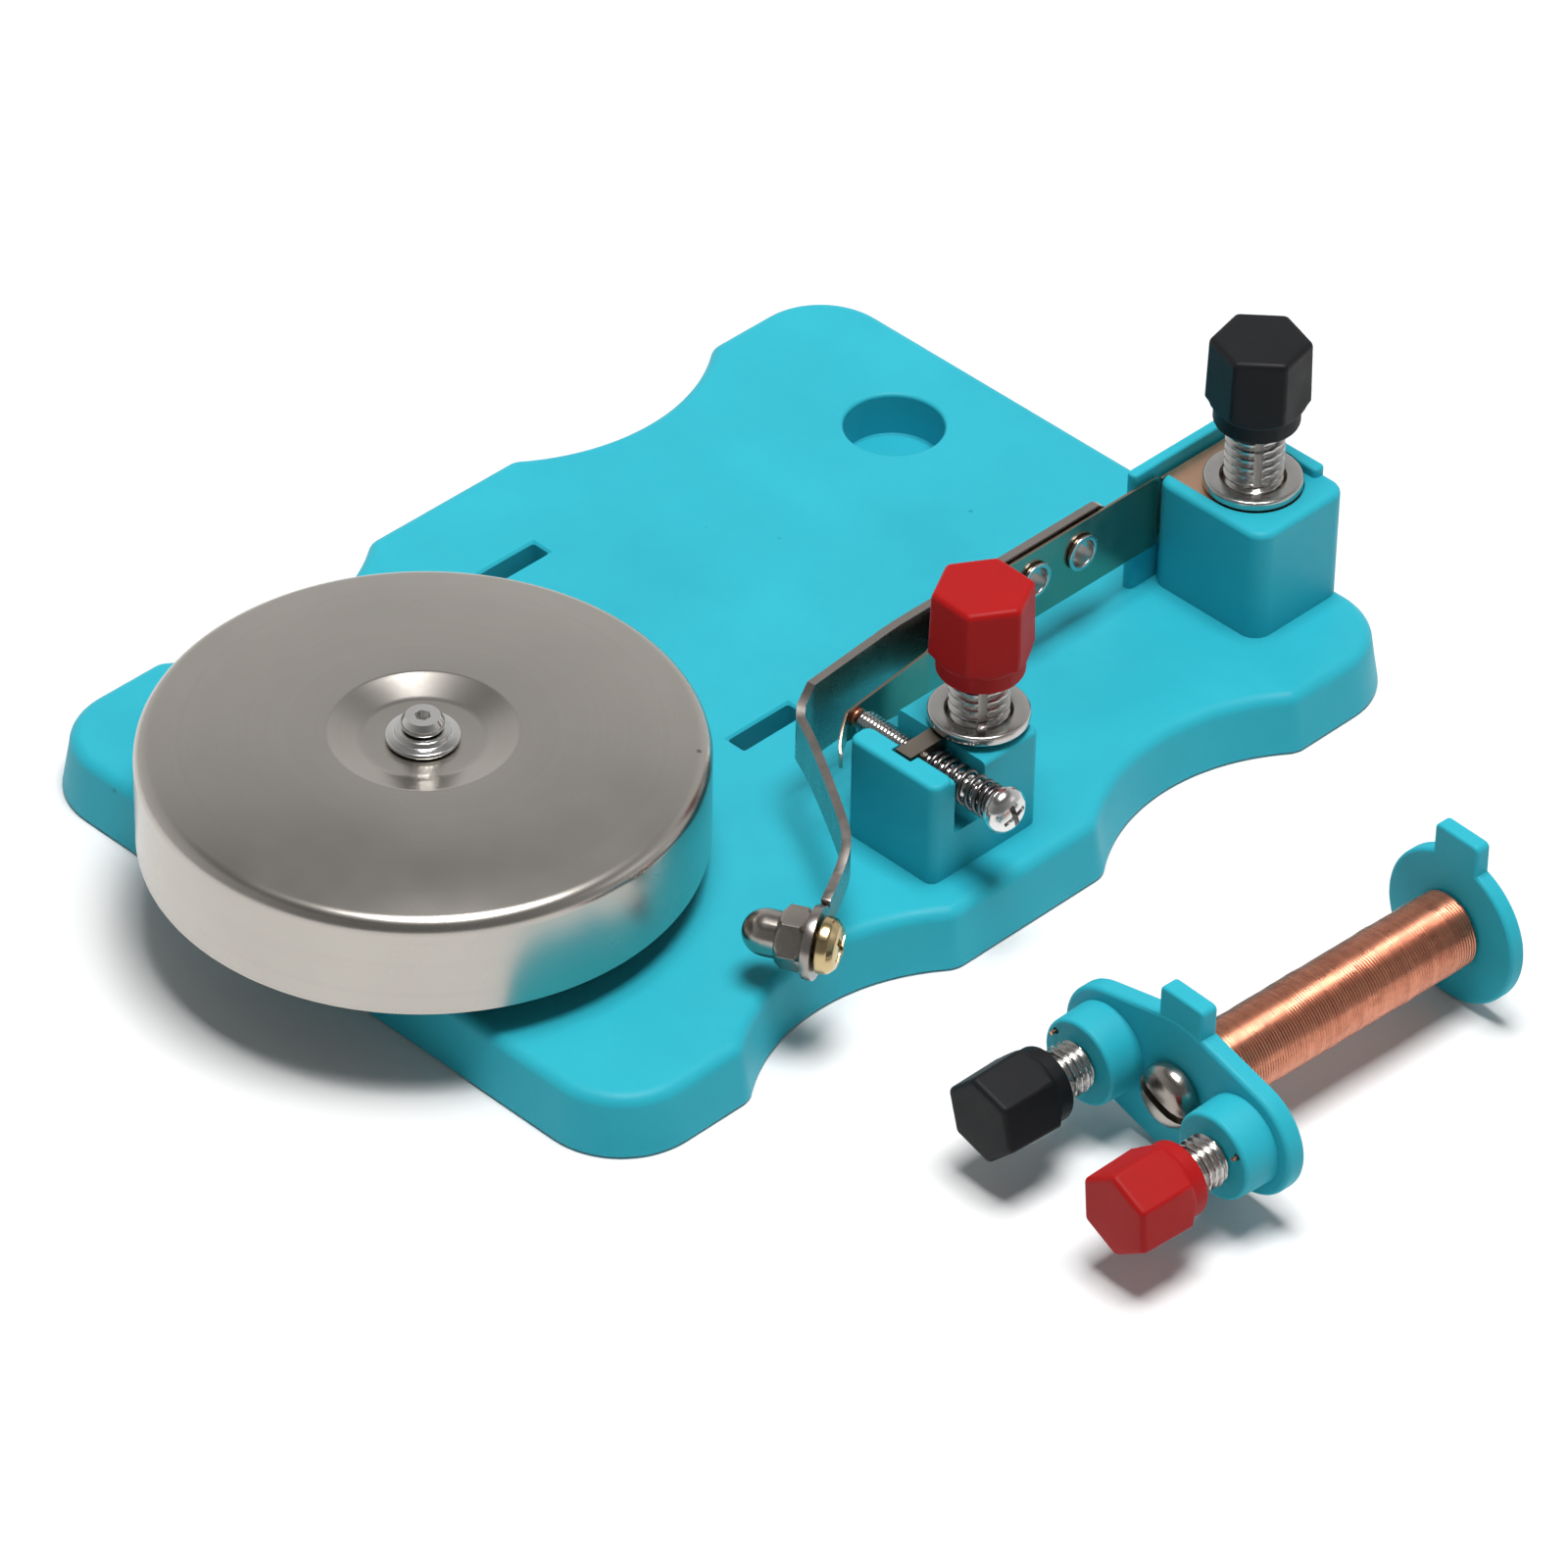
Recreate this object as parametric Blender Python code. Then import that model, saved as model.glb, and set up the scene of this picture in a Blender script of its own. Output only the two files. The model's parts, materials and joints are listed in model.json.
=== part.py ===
"""Electric bell teaching kit: a moulded base with a gong, a sprung hammer armature, a contact
screw and two binding posts, and a plug-in electromagnet lying in front of the base.

Units are metres and +Z is up. The origin is the centre of the base's underside, with X along
the base from the gong to the rear post. Each moving piece has its origin, or its parent
empty, on its joint's axis.
"""

import math

import bmesh
import bpy
from mathutils import Matrix, Vector

# Gaps: between pieces that rest on each other, and around shafts in plain holes.
SEAT_GAP = 0.0002
BORE_GAP = 0.00015
OVERSHOOT = 0.001

# Base plate, whose long sides each have two scooped finger recesses.
BASE_LENGTH = 0.110
BASE_WIDTH = 0.0832
BASE_HEIGHT = 0.0065
BASE_CORNER = 0.0088
BASE_EDGE_ROUND = 0.0012
BASE_DRAFT = 0.0008
SCOOP_CENTRE = 0.0240
SCOOP_RADIUS = 0.0220
SCOOP_DEPTH = 0.0049
SCOOP_BLEND = 0.0030
SOCKET_X = 0.0417
SOCKET_Y = 0.0180
SOCKET_RADIUS = 0.0052
SOCKET_FLOOR = 0.0014

# Two slots that take the electromagnet's tabs.
TAB_SPACING = 0.0360
TAB_SLOT_X = -0.0026
TAB_SLOT_MIDDLE_Y = 0.0099
TAB_SLOT_LENGTH = 0.0083
TAB_SLOT_WIDTH = 0.0023

# Gong, on a pillar that is part of the base.
GONG_X = -0.0406
GONG_Y = 0.0
GONG_RADIUS = 0.02745
GONG_RIM_Z = 0.0099
GONG_TOP_Z = 0.0221
GONG_WALL = 0.0007
PILLAR_RADIUS = 0.0045

# Binding posts: studs, washers, nuts and hexagonal caps with brass inserts. The coil's posts
# are smaller than the base's by COIL_POST_SCALE.
COIL_POST_SCALE = 0.88
THREAD_RADIUS = 0.0030
THREAD_PITCH = 0.0010
SHANK_RADIUS = 0.0020
STUD_SLOT = 0.0009
POST_WASHER_OUTER = 0.0050
POST_WASHER_INNER = 0.00325
POST_WASHER_THICK = 0.0011
CAP_ACROSS_FLATS = 0.0092
CAP_CORNER_RADIUS = 0.00522
CAP_TAPER = 0.97
CAP_SKIRT_RADIUS = 0.00435
CAP_SKIRT_HEIGHT = 0.0018
CAP_HEIGHT = 0.0097
CAP_ROOF = 0.0012
CAP_POCKET_RADIUS = 0.0037
CAP_LIP_RADIUS = 0.0033
CAP_LIP_HEIGHT = 0.0012
CAP_POINTS = 36
INSERT_OUTER = 0.00355
INSERT_INNER = 0.00308
INSERT_LENGTH = 0.0058
NUT_ACROSS_FLATS = 0.0070
NUT_HEIGHT = 0.0030

# Rear block: black post, clamped end of the leaf, wall behind the leaf.
REAR_X0 = 0.0415
REAR_X1 = 0.0542
REAR_Y0 = -0.0322
REAR_TOP = 0.0192
REAR_POST_X = 0.0479
REAR_POST_Y = -0.0251
REAR_WALL_X0 = 0.0388
REAR_WALL_TOP = 0.0205
LEAF_SLOT_FLOOR = 0.0104
LEAF_SLOT_BACK = 0.0005
LEAF_TAB_FLOOR = 0.0183
LEAF_TAB_WIDTH = 0.0098

# Front block: red post, contact screw in a groove.
FRONT_X0 = -0.0087
FRONT_X1 = 0.0058
FRONT_Y0 = -0.0366
FRONT_Y1 = -0.0250
FRONT_TOP = 0.0178
FRONT_WALL_TOP = 0.0182
GROOVE_X0 = -0.0059
GROOVE_X1 = -0.00185
GROOVE_FLOOR = 0.0114
FRONT_POST_X = 0.0023
FRONT_POST_Y = -0.0317

# Leaf spring and armature plate. Y values are the leaf's middle plane and the plate's.
LEAF_Y = -0.01815
LEAF_THICK = 0.0003
LEAF_BOTTOM = 0.0111
LEAF_TOP = 0.0195
HINGE_X = 0.0419
PLATE_THICK = 0.0009
PLATE_END_X = 0.0346
EYELET_XS = (0.0240, 0.0306)
EYELET_Z = 0.0160
EYELET_HOLE = 0.00165
CONTACT_START = (0.0062, -0.0209)
CONTACT_END = (-0.0052, -0.0214)
BUTTON_GAP = 0.00005

# Hammer, on the end of the plate's arm, pointing at the gong.
HAMMER = Vector((-0.0274, -0.0394, 0.0120))
HAMMER_AXIS = Vector((-0.46, 0.888, 0.0)).normalized()
HAMMER_TAB_RADIUS = 0.0036
M3_RADIUS = 0.0015

# Contact screw, along +Y in the groove.
SCREW_X = (GROOVE_X0 + GROOVE_X1) / 2
SCREW_Z = 0.0159
SCREW_RADIUS = 0.00125
SCREW_TIP_Y = -0.0222
SCREW_HEAD_Y = -0.0409
SCREW_HEAD_RADIUS = 0.0024
SCREW_HEAD_HEIGHT = 0.0017
SPRING_RADIUS = 0.0016
SPRING_WIRE = 0.00022
SPRING_TURNS = 8
BRACKET_THICK = 0.0005
BRACKET_TAB_Y = -0.0316

# Electromagnet, lying on its two flanges. Its own frame has X along the core.
MAGNET_PLACE = Vector((-0.0142, -0.0746, 0.0))
MAGNET_TURN = math.radians(-2.5)
FLANGE_RADIUS = 0.0082
LOBE_RADIUS = 0.0060
LOBE_SPACING = 0.0177
PLATE_HALF = 0.0011
DISC_HALF = 0.0009
BOSS_RADIUS = 0.0047
BOSS_FACE = -0.0051
TAB_WIDTH = 0.0056
TAB_HALF = 0.0010
TAB_TOP = 0.0110
TUBE_RADIUS = 0.0029
CORE_RADIUS = 0.0019
COIL_RADIUS = 0.00405
CORE_HEAD_RADIUS = 0.0033
COIL_NUT_ACROSS_FLATS = 0.0055
COIL_NUT_HEIGHT = 0.0022
LEAD_RADIUS = 0.0002
LEAD_HOLE_OUT = 0.0031
LEAD_HOLE_UP = 0.0020

ROUND = 40
SMALL_ROUND = 24


def clear_scene():
    for obj in list(bpy.data.objects):
        bpy.data.objects.remove(obj, do_unlink=True)


def finish(name, colour, roughness, metallic=0.0):
    made = bpy.data.materials.new(name)
    made.use_nodes = True
    shader = made.node_tree.nodes["Principled BSDF"]
    shader.inputs["Base Color"].default_value = (*colour, 1.0)
    shader.inputs["Roughness"].default_value = roughness
    shader.inputs["Metallic"].default_value = metallic
    return made


def empty(name, place, turn=0.0):
    made = bpy.data.objects.new(name, None)
    made.location = place
    made.rotation_euler = (0.0, 0.0, turn)
    bpy.context.scene.collection.objects.link(made)
    return made


def piece(name, bm, look, parent=None, place=None, helper=False):
    """An object from a bmesh. The parent's own place still applies to it."""
    bmesh.ops.remove_doubles(bm, verts=bm.verts, dist=1e-7)
    bmesh.ops.recalc_face_normals(bm, faces=bm.faces)
    mesh = bpy.data.meshes.new(name)
    bm.to_mesh(mesh)
    bm.free()
    mesh.shade_smooth()
    mesh.set_sharp_from_angle(angle=math.radians(32))
    made = bpy.data.objects.new(name, mesh)
    bpy.context.scene.collection.objects.link(made)
    made.parent = parent
    if place is not None:
        made.matrix_local = place
    if helper:
        made.hide_render = True
        made.display_type = "WIRE"
    else:
        mesh.materials.append(look)
    return made


def combine(target, tool, operation):
    step = target.modifiers.new(tool.name, "BOOLEAN")
    step.operation = operation
    step.solver = "EXACT"
    step.object = tool


def cut(target, name, bm, place=None):
    combine(target, piece(name, bm, None, target.parent, place, helper=True), "DIFFERENCE")


def join(target, name, bm, place=None, edge_round=0.0):
    tool = piece(name, bm, None, target.parent, place, helper=True)
    if edge_round:
        soften(tool, edge_round)
    combine(target, tool, "UNION")


def soften(obj, width, segments=2):
    bevel = obj.modifiers.new("edges", "BEVEL")
    bevel.width = width
    bevel.segments = segments
    bevel.limit_method = "ANGLE"
    bevel.angle_limit = math.radians(50)


def loft(sections, ring=False):
    """A closed solid through sections of equal point counts, capped at both ends or joined up."""
    bm = bmesh.new()
    rows = [[bm.verts.new(point) for point in section] for section in sections]
    pairs = list(zip(rows, rows[1:]))
    if ring:
        pairs.append((rows[-1], rows[0]))
    else:
        bm.faces.new(rows[0])
        bm.faces.new(rows[-1])
    for low, high in pairs:
        for i in range(len(low)):
            j = (i + 1) % len(low)
            bm.faces.new((low[i], low[j], high[j], high[i]))
    return bm


def circle(radius, z, segments=ROUND, x=0.0, y=0.0):
    turns = [2 * math.pi * i / segments for i in range(segments)]
    return [Vector((x + radius * math.cos(a), y + radius * math.sin(a), z)) for a in turns]


def turned(profile, segments=ROUND, ring=False):
    """A solid turned about Z from (radius, height) points."""
    return loft([circle(r, z, segments) for r, z in profile], ring)


def tube(inner, outer, z0, z1, segments=ROUND):
    return turned([(inner, z0), (outer, z0), (outer, z1), (inner, z1)], segments, ring=True)


def hexagon(across_flats, z, turn=0.0):
    corner = across_flats / math.sqrt(3)
    turns = [turn + math.pi * i / 3 for i in range(6)]
    return [Vector((corner * math.cos(a), corner * math.sin(a), z)) for a in turns]


def prism(outline, z0, z1):
    low = [Vector((p[0], p[1], z0)) for p in outline]
    high = [Vector((p[0], p[1], z1)) for p in outline]
    return loft([low, high])


def box(x0, x1, y0, y1, z0, z1):
    return prism([(x0, y0), (x1, y0), (x1, y1), (x0, y1)], z0, z1)


def arc(cx, cy, radius, start, end, steps):
    """Points along an arc, with both ends, for angles in radians."""
    turns = [start + (end - start) * i / steps for i in range(steps + 1)]
    return [(cx + radius * math.cos(a), cy + radius * math.sin(a)) for a in turns]


def rounded_box_outline(x0, x1, y0, y1, radius, steps=5):
    quarter = math.pi / 2
    points = arc(x0 + radius, y0 + radius, radius, 2 * quarter, 3 * quarter, steps)
    points += arc(x1 - radius, y0 + radius, radius, 3 * quarter, 4 * quarter, steps)
    points += arc(x1 - radius, y1 - radius, radius, 0.0, quarter, steps)
    points += arc(x0 + radius, y1 - radius, radius, quarter, 2 * quarter, steps)
    return points


def aim(direction, place):
    """A matrix that puts local +Z along the direction, at the place."""
    turn = Vector(direction).to_track_quat("Z", "Y").to_matrix().to_4x4()
    return Matrix.Translation(place) @ turn


def nut(name, look, parent, place, height, across_flats, hole):
    bm = loft([hexagon(across_flats, 0.0), hexagon(across_flats, height)])
    made = piece(name, bm, look, parent, place)
    soften(made, 0.0003, 1)
    cut(made, name + "_hole", turned([(hole, -OVERSHOOT), (hole, height + OVERSHOOT)]), place)
    return made


# ------------------------------------------------------------------ base


def scooped_side():
    """The front edge from left to right: straight, with two scoops blended into it."""
    edge = -BASE_WIDTH / 2
    outside = SCOOP_RADIUS - SCOOP_DEPTH
    reach = math.sqrt((SCOOP_RADIUS + SCOOP_BLEND) ** 2 - (outside + SCOOP_BLEND) ** 2)
    lean = math.atan2(outside + SCOOP_BLEND, reach)
    points = []
    for middle in (-SCOOP_CENTRE, SCOOP_CENTRE):
        y = edge + SCOOP_BLEND
        points += arc(middle - reach, y, SCOOP_BLEND, -math.pi / 2, -lean, 4)
        points += arc(middle, edge - outside, SCOOP_RADIUS, math.pi - lean, lean, 14)[1:-1]
        points += arc(middle + reach, y, SCOOP_BLEND, math.pi + lean, 1.5 * math.pi, 4)
    return points


def base_outline():
    side = scooped_side()
    x = BASE_LENGTH / 2 - BASE_CORNER
    y = BASE_WIDTH / 2 - BASE_CORNER
    quarter = math.pi / 2
    points = arc(-x, -y, BASE_CORNER, 2 * quarter, 3 * quarter, 8)
    points += side
    points += arc(x, -y, BASE_CORNER, -quarter, 0.0, 8)
    points += arc(x, y, BASE_CORNER, 0.0, quarter, 8)
    points += [(-px, -py) for px, py in side]
    points += arc(-x, y, BASE_CORNER, quarter, 2 * quarter, 8)
    return points


def inset(points, distance):
    """The outline moved inwards along each point's normal. The outline runs anticlockwise."""
    moved = []
    for i, (x, y) in enumerate(points):
        ahead = Vector(points[(i + 1) % len(points)])
        behind = Vector(points[i - 1])
        along = (ahead - behind).normalized()
        moved.append((x - along.y * distance, y + along.x * distance))
    return moved


def base_body(look):
    outline = base_outline()
    shoulder = BASE_HEIGHT - BASE_EDGE_ROUND
    levels = [(0.0, 0.0), (BASE_DRAFT, shoulder)]
    for step in range(1, 5):
        a = step * math.pi / 8
        inwards = BASE_DRAFT + BASE_EDGE_ROUND * (1 - math.cos(a))
        levels.append((inwards, shoulder + BASE_EDGE_ROUND * math.sin(a)))
    sections = [[Vector((x, y, z)) for x, y in inset(outline, d)] for d, z in levels]
    return piece("base_plate", loft(sections), look)


def add_blocks(base):
    inside = BASE_HEIGHT - OVERSHOOT
    wall_y = LEAF_Y + LEAF_SLOT_BACK
    block = rounded_box_outline(REAR_X0, REAR_X1, REAR_Y0, wall_y, 0.0020)
    join(base, "rear_block", prism(block, inside, REAR_TOP), edge_round=0.0005)
    rim = rounded_box_outline(0.0527, REAR_X1, -0.0290, -0.0165, 0.0005, 2)
    join(base, "rear_rim", prism(rim, inside, 0.0202), edge_round=0.0003)
    wall = rounded_box_outline(REAR_WALL_X0, REAR_X1, wall_y, -0.0164, 0.0005, 2)
    join(base, "rear_wall", prism(wall, inside, REAR_WALL_TOP), edge_round=0.0003)
    front = rounded_box_outline(FRONT_X0, FRONT_X1, FRONT_Y0, FRONT_Y1, 0.0009)
    join(base, "front_block", prism(front, inside, FRONT_TOP), edge_round=0.0004)
    cheek = rounded_box_outline(FRONT_X0, GROOVE_X0, FRONT_Y0, FRONT_Y1, 0.0009)
    join(base, "front_cheek", prism(cheek, inside, FRONT_WALL_TOP), edge_round=0.0004)
    pillar_top = GONG_TOP_Z - 0.0010 - GONG_WALL - SEAT_GAP
    place = Matrix.Translation((GONG_X, GONG_Y, 0.0))
    column = turned([(PILLAR_RADIUS + 0.0006, inside), (PILLAR_RADIUS, pillar_top)])
    join(base, "pillar", column, place)


def leaf_tab_outline(margin):
    """The leaf's clamped tab: a strip with a round end about the rear post."""
    half = LEAF_TAB_WIDTH / 2 + margin
    end = LEAF_Y + LEAF_THICK / 2
    points = [(REAR_POST_X + half, end), (REAR_POST_X - half, end)]
    points += arc(REAR_POST_X, REAR_POST_Y, half, math.pi, 2 * math.pi, 16)
    return points


def cut_rear_block(base):
    top = REAR_WALL_TOP + OVERSHOOT
    front = LEAF_Y - LEAF_THICK / 2 - SEAT_GAP
    slot = box(0.038, 0.0530, front, LEAF_Y + LEAF_SLOT_BACK, LEAF_SLOT_FLOOR, top)
    cut(base, "leaf_slot", slot)
    tab = leaf_tab_outline(0.0002)
    cut(base, "leaf_tab_recess", prism(tab, LEAF_TAB_FLOOR, top))


def cut_front_block(base):
    top = FRONT_WALL_TOP + OVERSHOOT
    groove = box(GROOVE_X0, GROOVE_X1, -0.040, -0.022, GROOVE_FLOOR, top)
    cut(base, "screw_groove", groove)
    notch = box(-0.0072, GROOVE_X0 + OVERSHOOT, -0.0319, -0.0293, 0.0148, top)
    cut(base, "bracket_notch", notch)


def cut_holes(base):
    for number, side in enumerate((-1, 1), 1):
        y = TAB_SLOT_MIDDLE_Y + side * TAB_SPACING / 2
        half_length = TAB_SLOT_LENGTH / 2
        half_width = TAB_SLOT_WIDTH / 2
        slot = rounded_box_outline(
            TAB_SLOT_X - half_length, TAB_SLOT_X + half_length, y - half_width, y + half_width, 0.0003, 2
        )
        cut(base, f"tab_slot_{number}", prism(slot, -OVERSHOOT, BASE_HEIGHT + OVERSHOOT))
    socket = turned([(SOCKET_RADIUS, SOCKET_FLOOR), (SOCKET_RADIUS, BASE_HEIGHT + OVERSHOOT)])
    cut(base, "socket", socket, Matrix.Translation((SOCKET_X, SOCKET_Y, 0.0)))
    for name, x, y, top in (
        ("rear_post", REAR_POST_X, REAR_POST_Y, REAR_TOP),
        ("front_post", FRONT_POST_X, FRONT_POST_Y, FRONT_TOP),
    ):
        place = Matrix.Translation((x, y, 0.0))
        hole = SHANK_RADIUS + BORE_GAP
        cut(base, name + "_bore", turned([(hole, 0.002), (hole, top + OVERSHOOT)], SMALL_ROUND), place)
        pocket = NUT_ACROSS_FLATS + 0.0006
        cut(base, name + "_pocket", loft([hexagon(pocket, -OVERSHOOT), hexagon(pocket, 0.0039)]), place)
    pilot = turned([(M3_RADIUS + BORE_GAP, 0.009), (M3_RADIUS + BORE_GAP, 0.03)], SMALL_ROUND)
    cut(base, "gong_pilot", pilot, Matrix.Translation((GONG_X, GONG_Y, 0.0)))


def make_gong(steel, bright):
    """The cup, with a dished centre, and the screw and washer that hold it to the pillar."""
    place = Matrix.Translation((GONG_X, GONG_Y, 0.0))
    seat = GONG_TOP_Z - 0.0010
    shoulder = 0.0016
    rim_top = GONG_TOP_Z - 0.0012
    outer = [(GONG_RADIUS, GONG_RIM_Z), (GONG_RADIUS, rim_top - shoulder)]
    for step in range(1, 5):
        a = step * math.pi / 8
        across = GONG_RADIUS - shoulder * (1 - math.cos(a))
        outer.append((across, rim_top - shoulder * (1 - math.sin(a))))
    outer += [(0.0192, GONG_TOP_Z), (0.0092, GONG_TOP_Z), (0.0072, seat + 0.0002), (0.0056, seat)]
    outer.append((M3_RADIUS + 0.0003, seat))
    inner = [(r, z - GONG_WALL) for r, z in outer if r < 0.020]
    inner = [(M3_RADIUS + 0.0003, seat - GONG_WALL)] + inner[-2::-1]
    reach = GONG_RADIUS - GONG_WALL
    inner += [(reach - 0.0012, rim_top - GONG_WALL), (reach, rim_top - GONG_WALL - 0.0012)]
    inner.append((reach, GONG_RIM_Z))
    piece("gong", turned(outer + inner, 56, ring=True), steel, None, place)
    base = seat + SEAT_GAP
    washer = [(M3_RADIUS + 0.0002, 0.0), (0.0036, 0.0), (0.0036, 0.0005), (0.0026, 0.0007)]
    washer += [(0.0026, 0.0012), (M3_RADIUS + 0.0002, 0.0012)]
    ring = turned([(r, base + z) for r, z in washer], ROUND, ring=True)
    piece("gong_washer", ring, bright, None, place)
    head = base + 0.0012 + SEAT_GAP
    profile = [(M3_RADIUS, 0.0105), (M3_RADIUS, head), (0.0021, head), (0.0021, head + 0.0007)]
    profile.append((0.0016, head + 0.0012))
    screw = piece("gong_screw", turned(profile, SMALL_ROUND), bright, None, place)
    recess = loft([hexagon(0.0014, head + 0.0004), hexagon(0.0014, head + 0.002)])
    cut(screw, "gong_screw_recess", recess, place)


# ---------------------------------------------------------------- binding posts


def cap_section(radius_limit, z, turn, scale, grip=1.0):
    """A hexagon whose corners are cut back to the radius limit, both shrunk by the grip."""
    points = []
    for i in range(CAP_POINTS):
        a = turn + 2 * math.pi * i / CAP_POINTS
        from_flat = (a - turn) % (math.pi / 3) - math.pi / 6
        radius = min(CAP_ACROSS_FLATS / 2 / math.cos(from_flat), radius_limit) * grip * scale
        points.append(Vector((radius * math.cos(a), radius * math.sin(a), z * scale)))
    return points


def cap_solid(turn, scale):
    """A hollow cap, open below, as one loft: down the inside, round the lip and up the outside."""
    roof = CAP_HEIGHT - CAP_ROOF
    rows = [(CAP_POCKET_RADIUS, roof), (CAP_POCKET_RADIUS, CAP_LIP_HEIGHT)]
    rows += [(CAP_LIP_RADIUS, CAP_LIP_HEIGHT), (CAP_LIP_RADIUS, 0.0)]
    rows += [(CAP_SKIRT_RADIUS - 0.0003, 0.0), (CAP_SKIRT_RADIUS, 0.0003)]
    rows += [(CAP_SKIRT_RADIUS, CAP_SKIRT_HEIGHT), (CAP_CORNER_RADIUS, CAP_SKIRT_HEIGHT + 0.0008)]
    sections = [cap_section(radius, z, turn, scale) for radius, z in rows]
    top = CAP_HEIGHT - 0.0005
    sections.append(cap_section(CAP_CORNER_RADIUS, top, turn, scale, CAP_TAPER))
    sections.append(cap_section(CAP_CORNER_RADIUS, CAP_HEIGHT, turn, scale, CAP_TAPER - 0.09))
    return loft(sections)


def binding_post(name, cap_name, parent, seat, looks, size, turns):
    """A stud standing on its seat along local +Z, with its cap and the insert in the cap."""
    scale, stud_top, shank_end, cap_start = size
    slot_turn, cap_turn = turns
    thread = THREAD_RADIUS * scale
    shank = SHANK_RADIUS * scale
    profile = [(shank, shank_end), (shank, 0.0), (thread, 0.0)]
    profile += [(thread, stud_top - 0.0003), (thread - 0.0003, stud_top)]
    stud = piece(name + "_stud", turned(profile, SMALL_ROUND), looks["steel"], parent, seat)
    half = STUD_SLOT / 2
    wide = THREAD_RADIUS + OVERSHOOT
    slot = box(-wide, wide, -half, half, 0.0012, stud_top + OVERSHOOT)
    cut(stud, name + "_stud_slot", slot, seat @ Matrix.Rotation(slot_turn, 4, "Z"))
    place = seat @ Matrix.Translation((0.0, 0.0, cap_start))
    start = CAP_LIP_HEIGHT * scale + SEAT_GAP
    end = start + INSERT_LENGTH * scale
    insert = tube(INSERT_INNER * scale, INSERT_OUTER * scale, start, end, SMALL_ROUND)
    piece(cap_name + "_insert", insert, looks["brass"], parent, place)
    piece(cap_name, cap_solid(cap_turn, scale), looks[cap_name], parent, place)


def post_washer(name, look, seat):
    ring = tube(POST_WASHER_INNER, POST_WASHER_OUTER, 0.0, POST_WASHER_THICK)
    made = piece(name, ring, look, None, seat)
    soften(made, 0.0002, 1)


def base_posts(looks):
    for name, cap_name, x, y, z, cap_start, cap_turn in (
        ("rear_post", "rear_cap", REAR_POST_X, REAR_POST_Y, 0.0190, 0.0077, math.radians(12)),
        ("front_post", "front_cap", FRONT_POST_X, FRONT_POST_Y, 0.0183, 0.0058, math.radians(28)),
    ):
        seat = Matrix.Translation((x, y, z + SEAT_GAP))
        size = (1.0, 0.0112, 0.0008 - z, cap_start)
        binding_post(name, cap_name, None, seat, looks, size, (math.radians(50), cap_turn))
        post_washer(name + "_washer", looks["steel"], seat)
        place = Matrix.Translation((x, y, 0.0006))
        nut(name + "_nut", looks["steel"], None, place, NUT_HEIGHT, NUT_ACROSS_FLATS, SHANK_RADIUS + BORE_GAP)


# ---------------------------------------------------------------- leaf and armature


def strip(path, thickness):
    """A band on edge along a plan path of (x, y, lowest z, highest z), as one closed solid."""
    sections = []
    for i, (x, y, low, high) in enumerate(path):
        ahead = Vector(path[min(i + 1, len(path) - 1)][:2])
        behind = Vector(path[max(i - 1, 0)][:2])
        along = (ahead - behind).normalized()
        side = Vector((-along.y, along.x)) * thickness / 2
        sections.append(
            [
                Vector((x - side.x, y - side.y, low)),
                Vector((x + side.x, y + side.y, low)),
                Vector((x + side.x, y + side.y, high)),
                Vector((x - side.x, y - side.y, high)),
            ]
        )
    return loft(sections)


def smooth_path(knots, steps=4):
    """Points on a smooth curve through the knots, which have any number of coordinates."""
    points = []
    padded = [knots[0], *knots, knots[-1]]
    for a, b, c, d in zip(padded, padded[1:], padded[2:], padded[3:]):
        for step in range(steps):
            t = step / steps
            point = []
            for p, q, r, s in zip(a, b, c, d):
                slope = (r - p) * t + (2 * p - 5 * q + 4 * r - s) * t * t
                point.append(q + 0.5 * (slope + (3 * q - p - 3 * r + s) * t ** 3))
            points.append(tuple(point))
    points.append(tuple(knots[-1]))
    return points


def leaf_mount(copper):
    """The clamped tab on the post, folded down into a short web in the leaf's slot."""
    bottom = LEAF_TAB_FLOOR + SEAT_GAP
    tab = piece("leaf_mount", prism(leaf_tab_outline(0.0), bottom, LEAF_TOP - 0.0005), copper)
    half = LEAF_TAB_WIDTH / 2
    web = box(
        REAR_POST_X - half - 0.0009, REAR_POST_X + half, LEAF_Y - LEAF_THICK / 2,
        LEAF_Y + LEAF_THICK / 2, LEAF_BOTTOM, LEAF_TOP - 0.0005,
    )
    join(tab, "leaf_web", web)
    hole = SHANK_RADIUS + BORE_GAP
    place = Matrix.Translation((REAR_POST_X, REAR_POST_Y, 0.0))
    cut(tab, "leaf_mount_hole", turned([(hole, 0.017), (hole, 0.021)], SMALL_ROUND), place)


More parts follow.
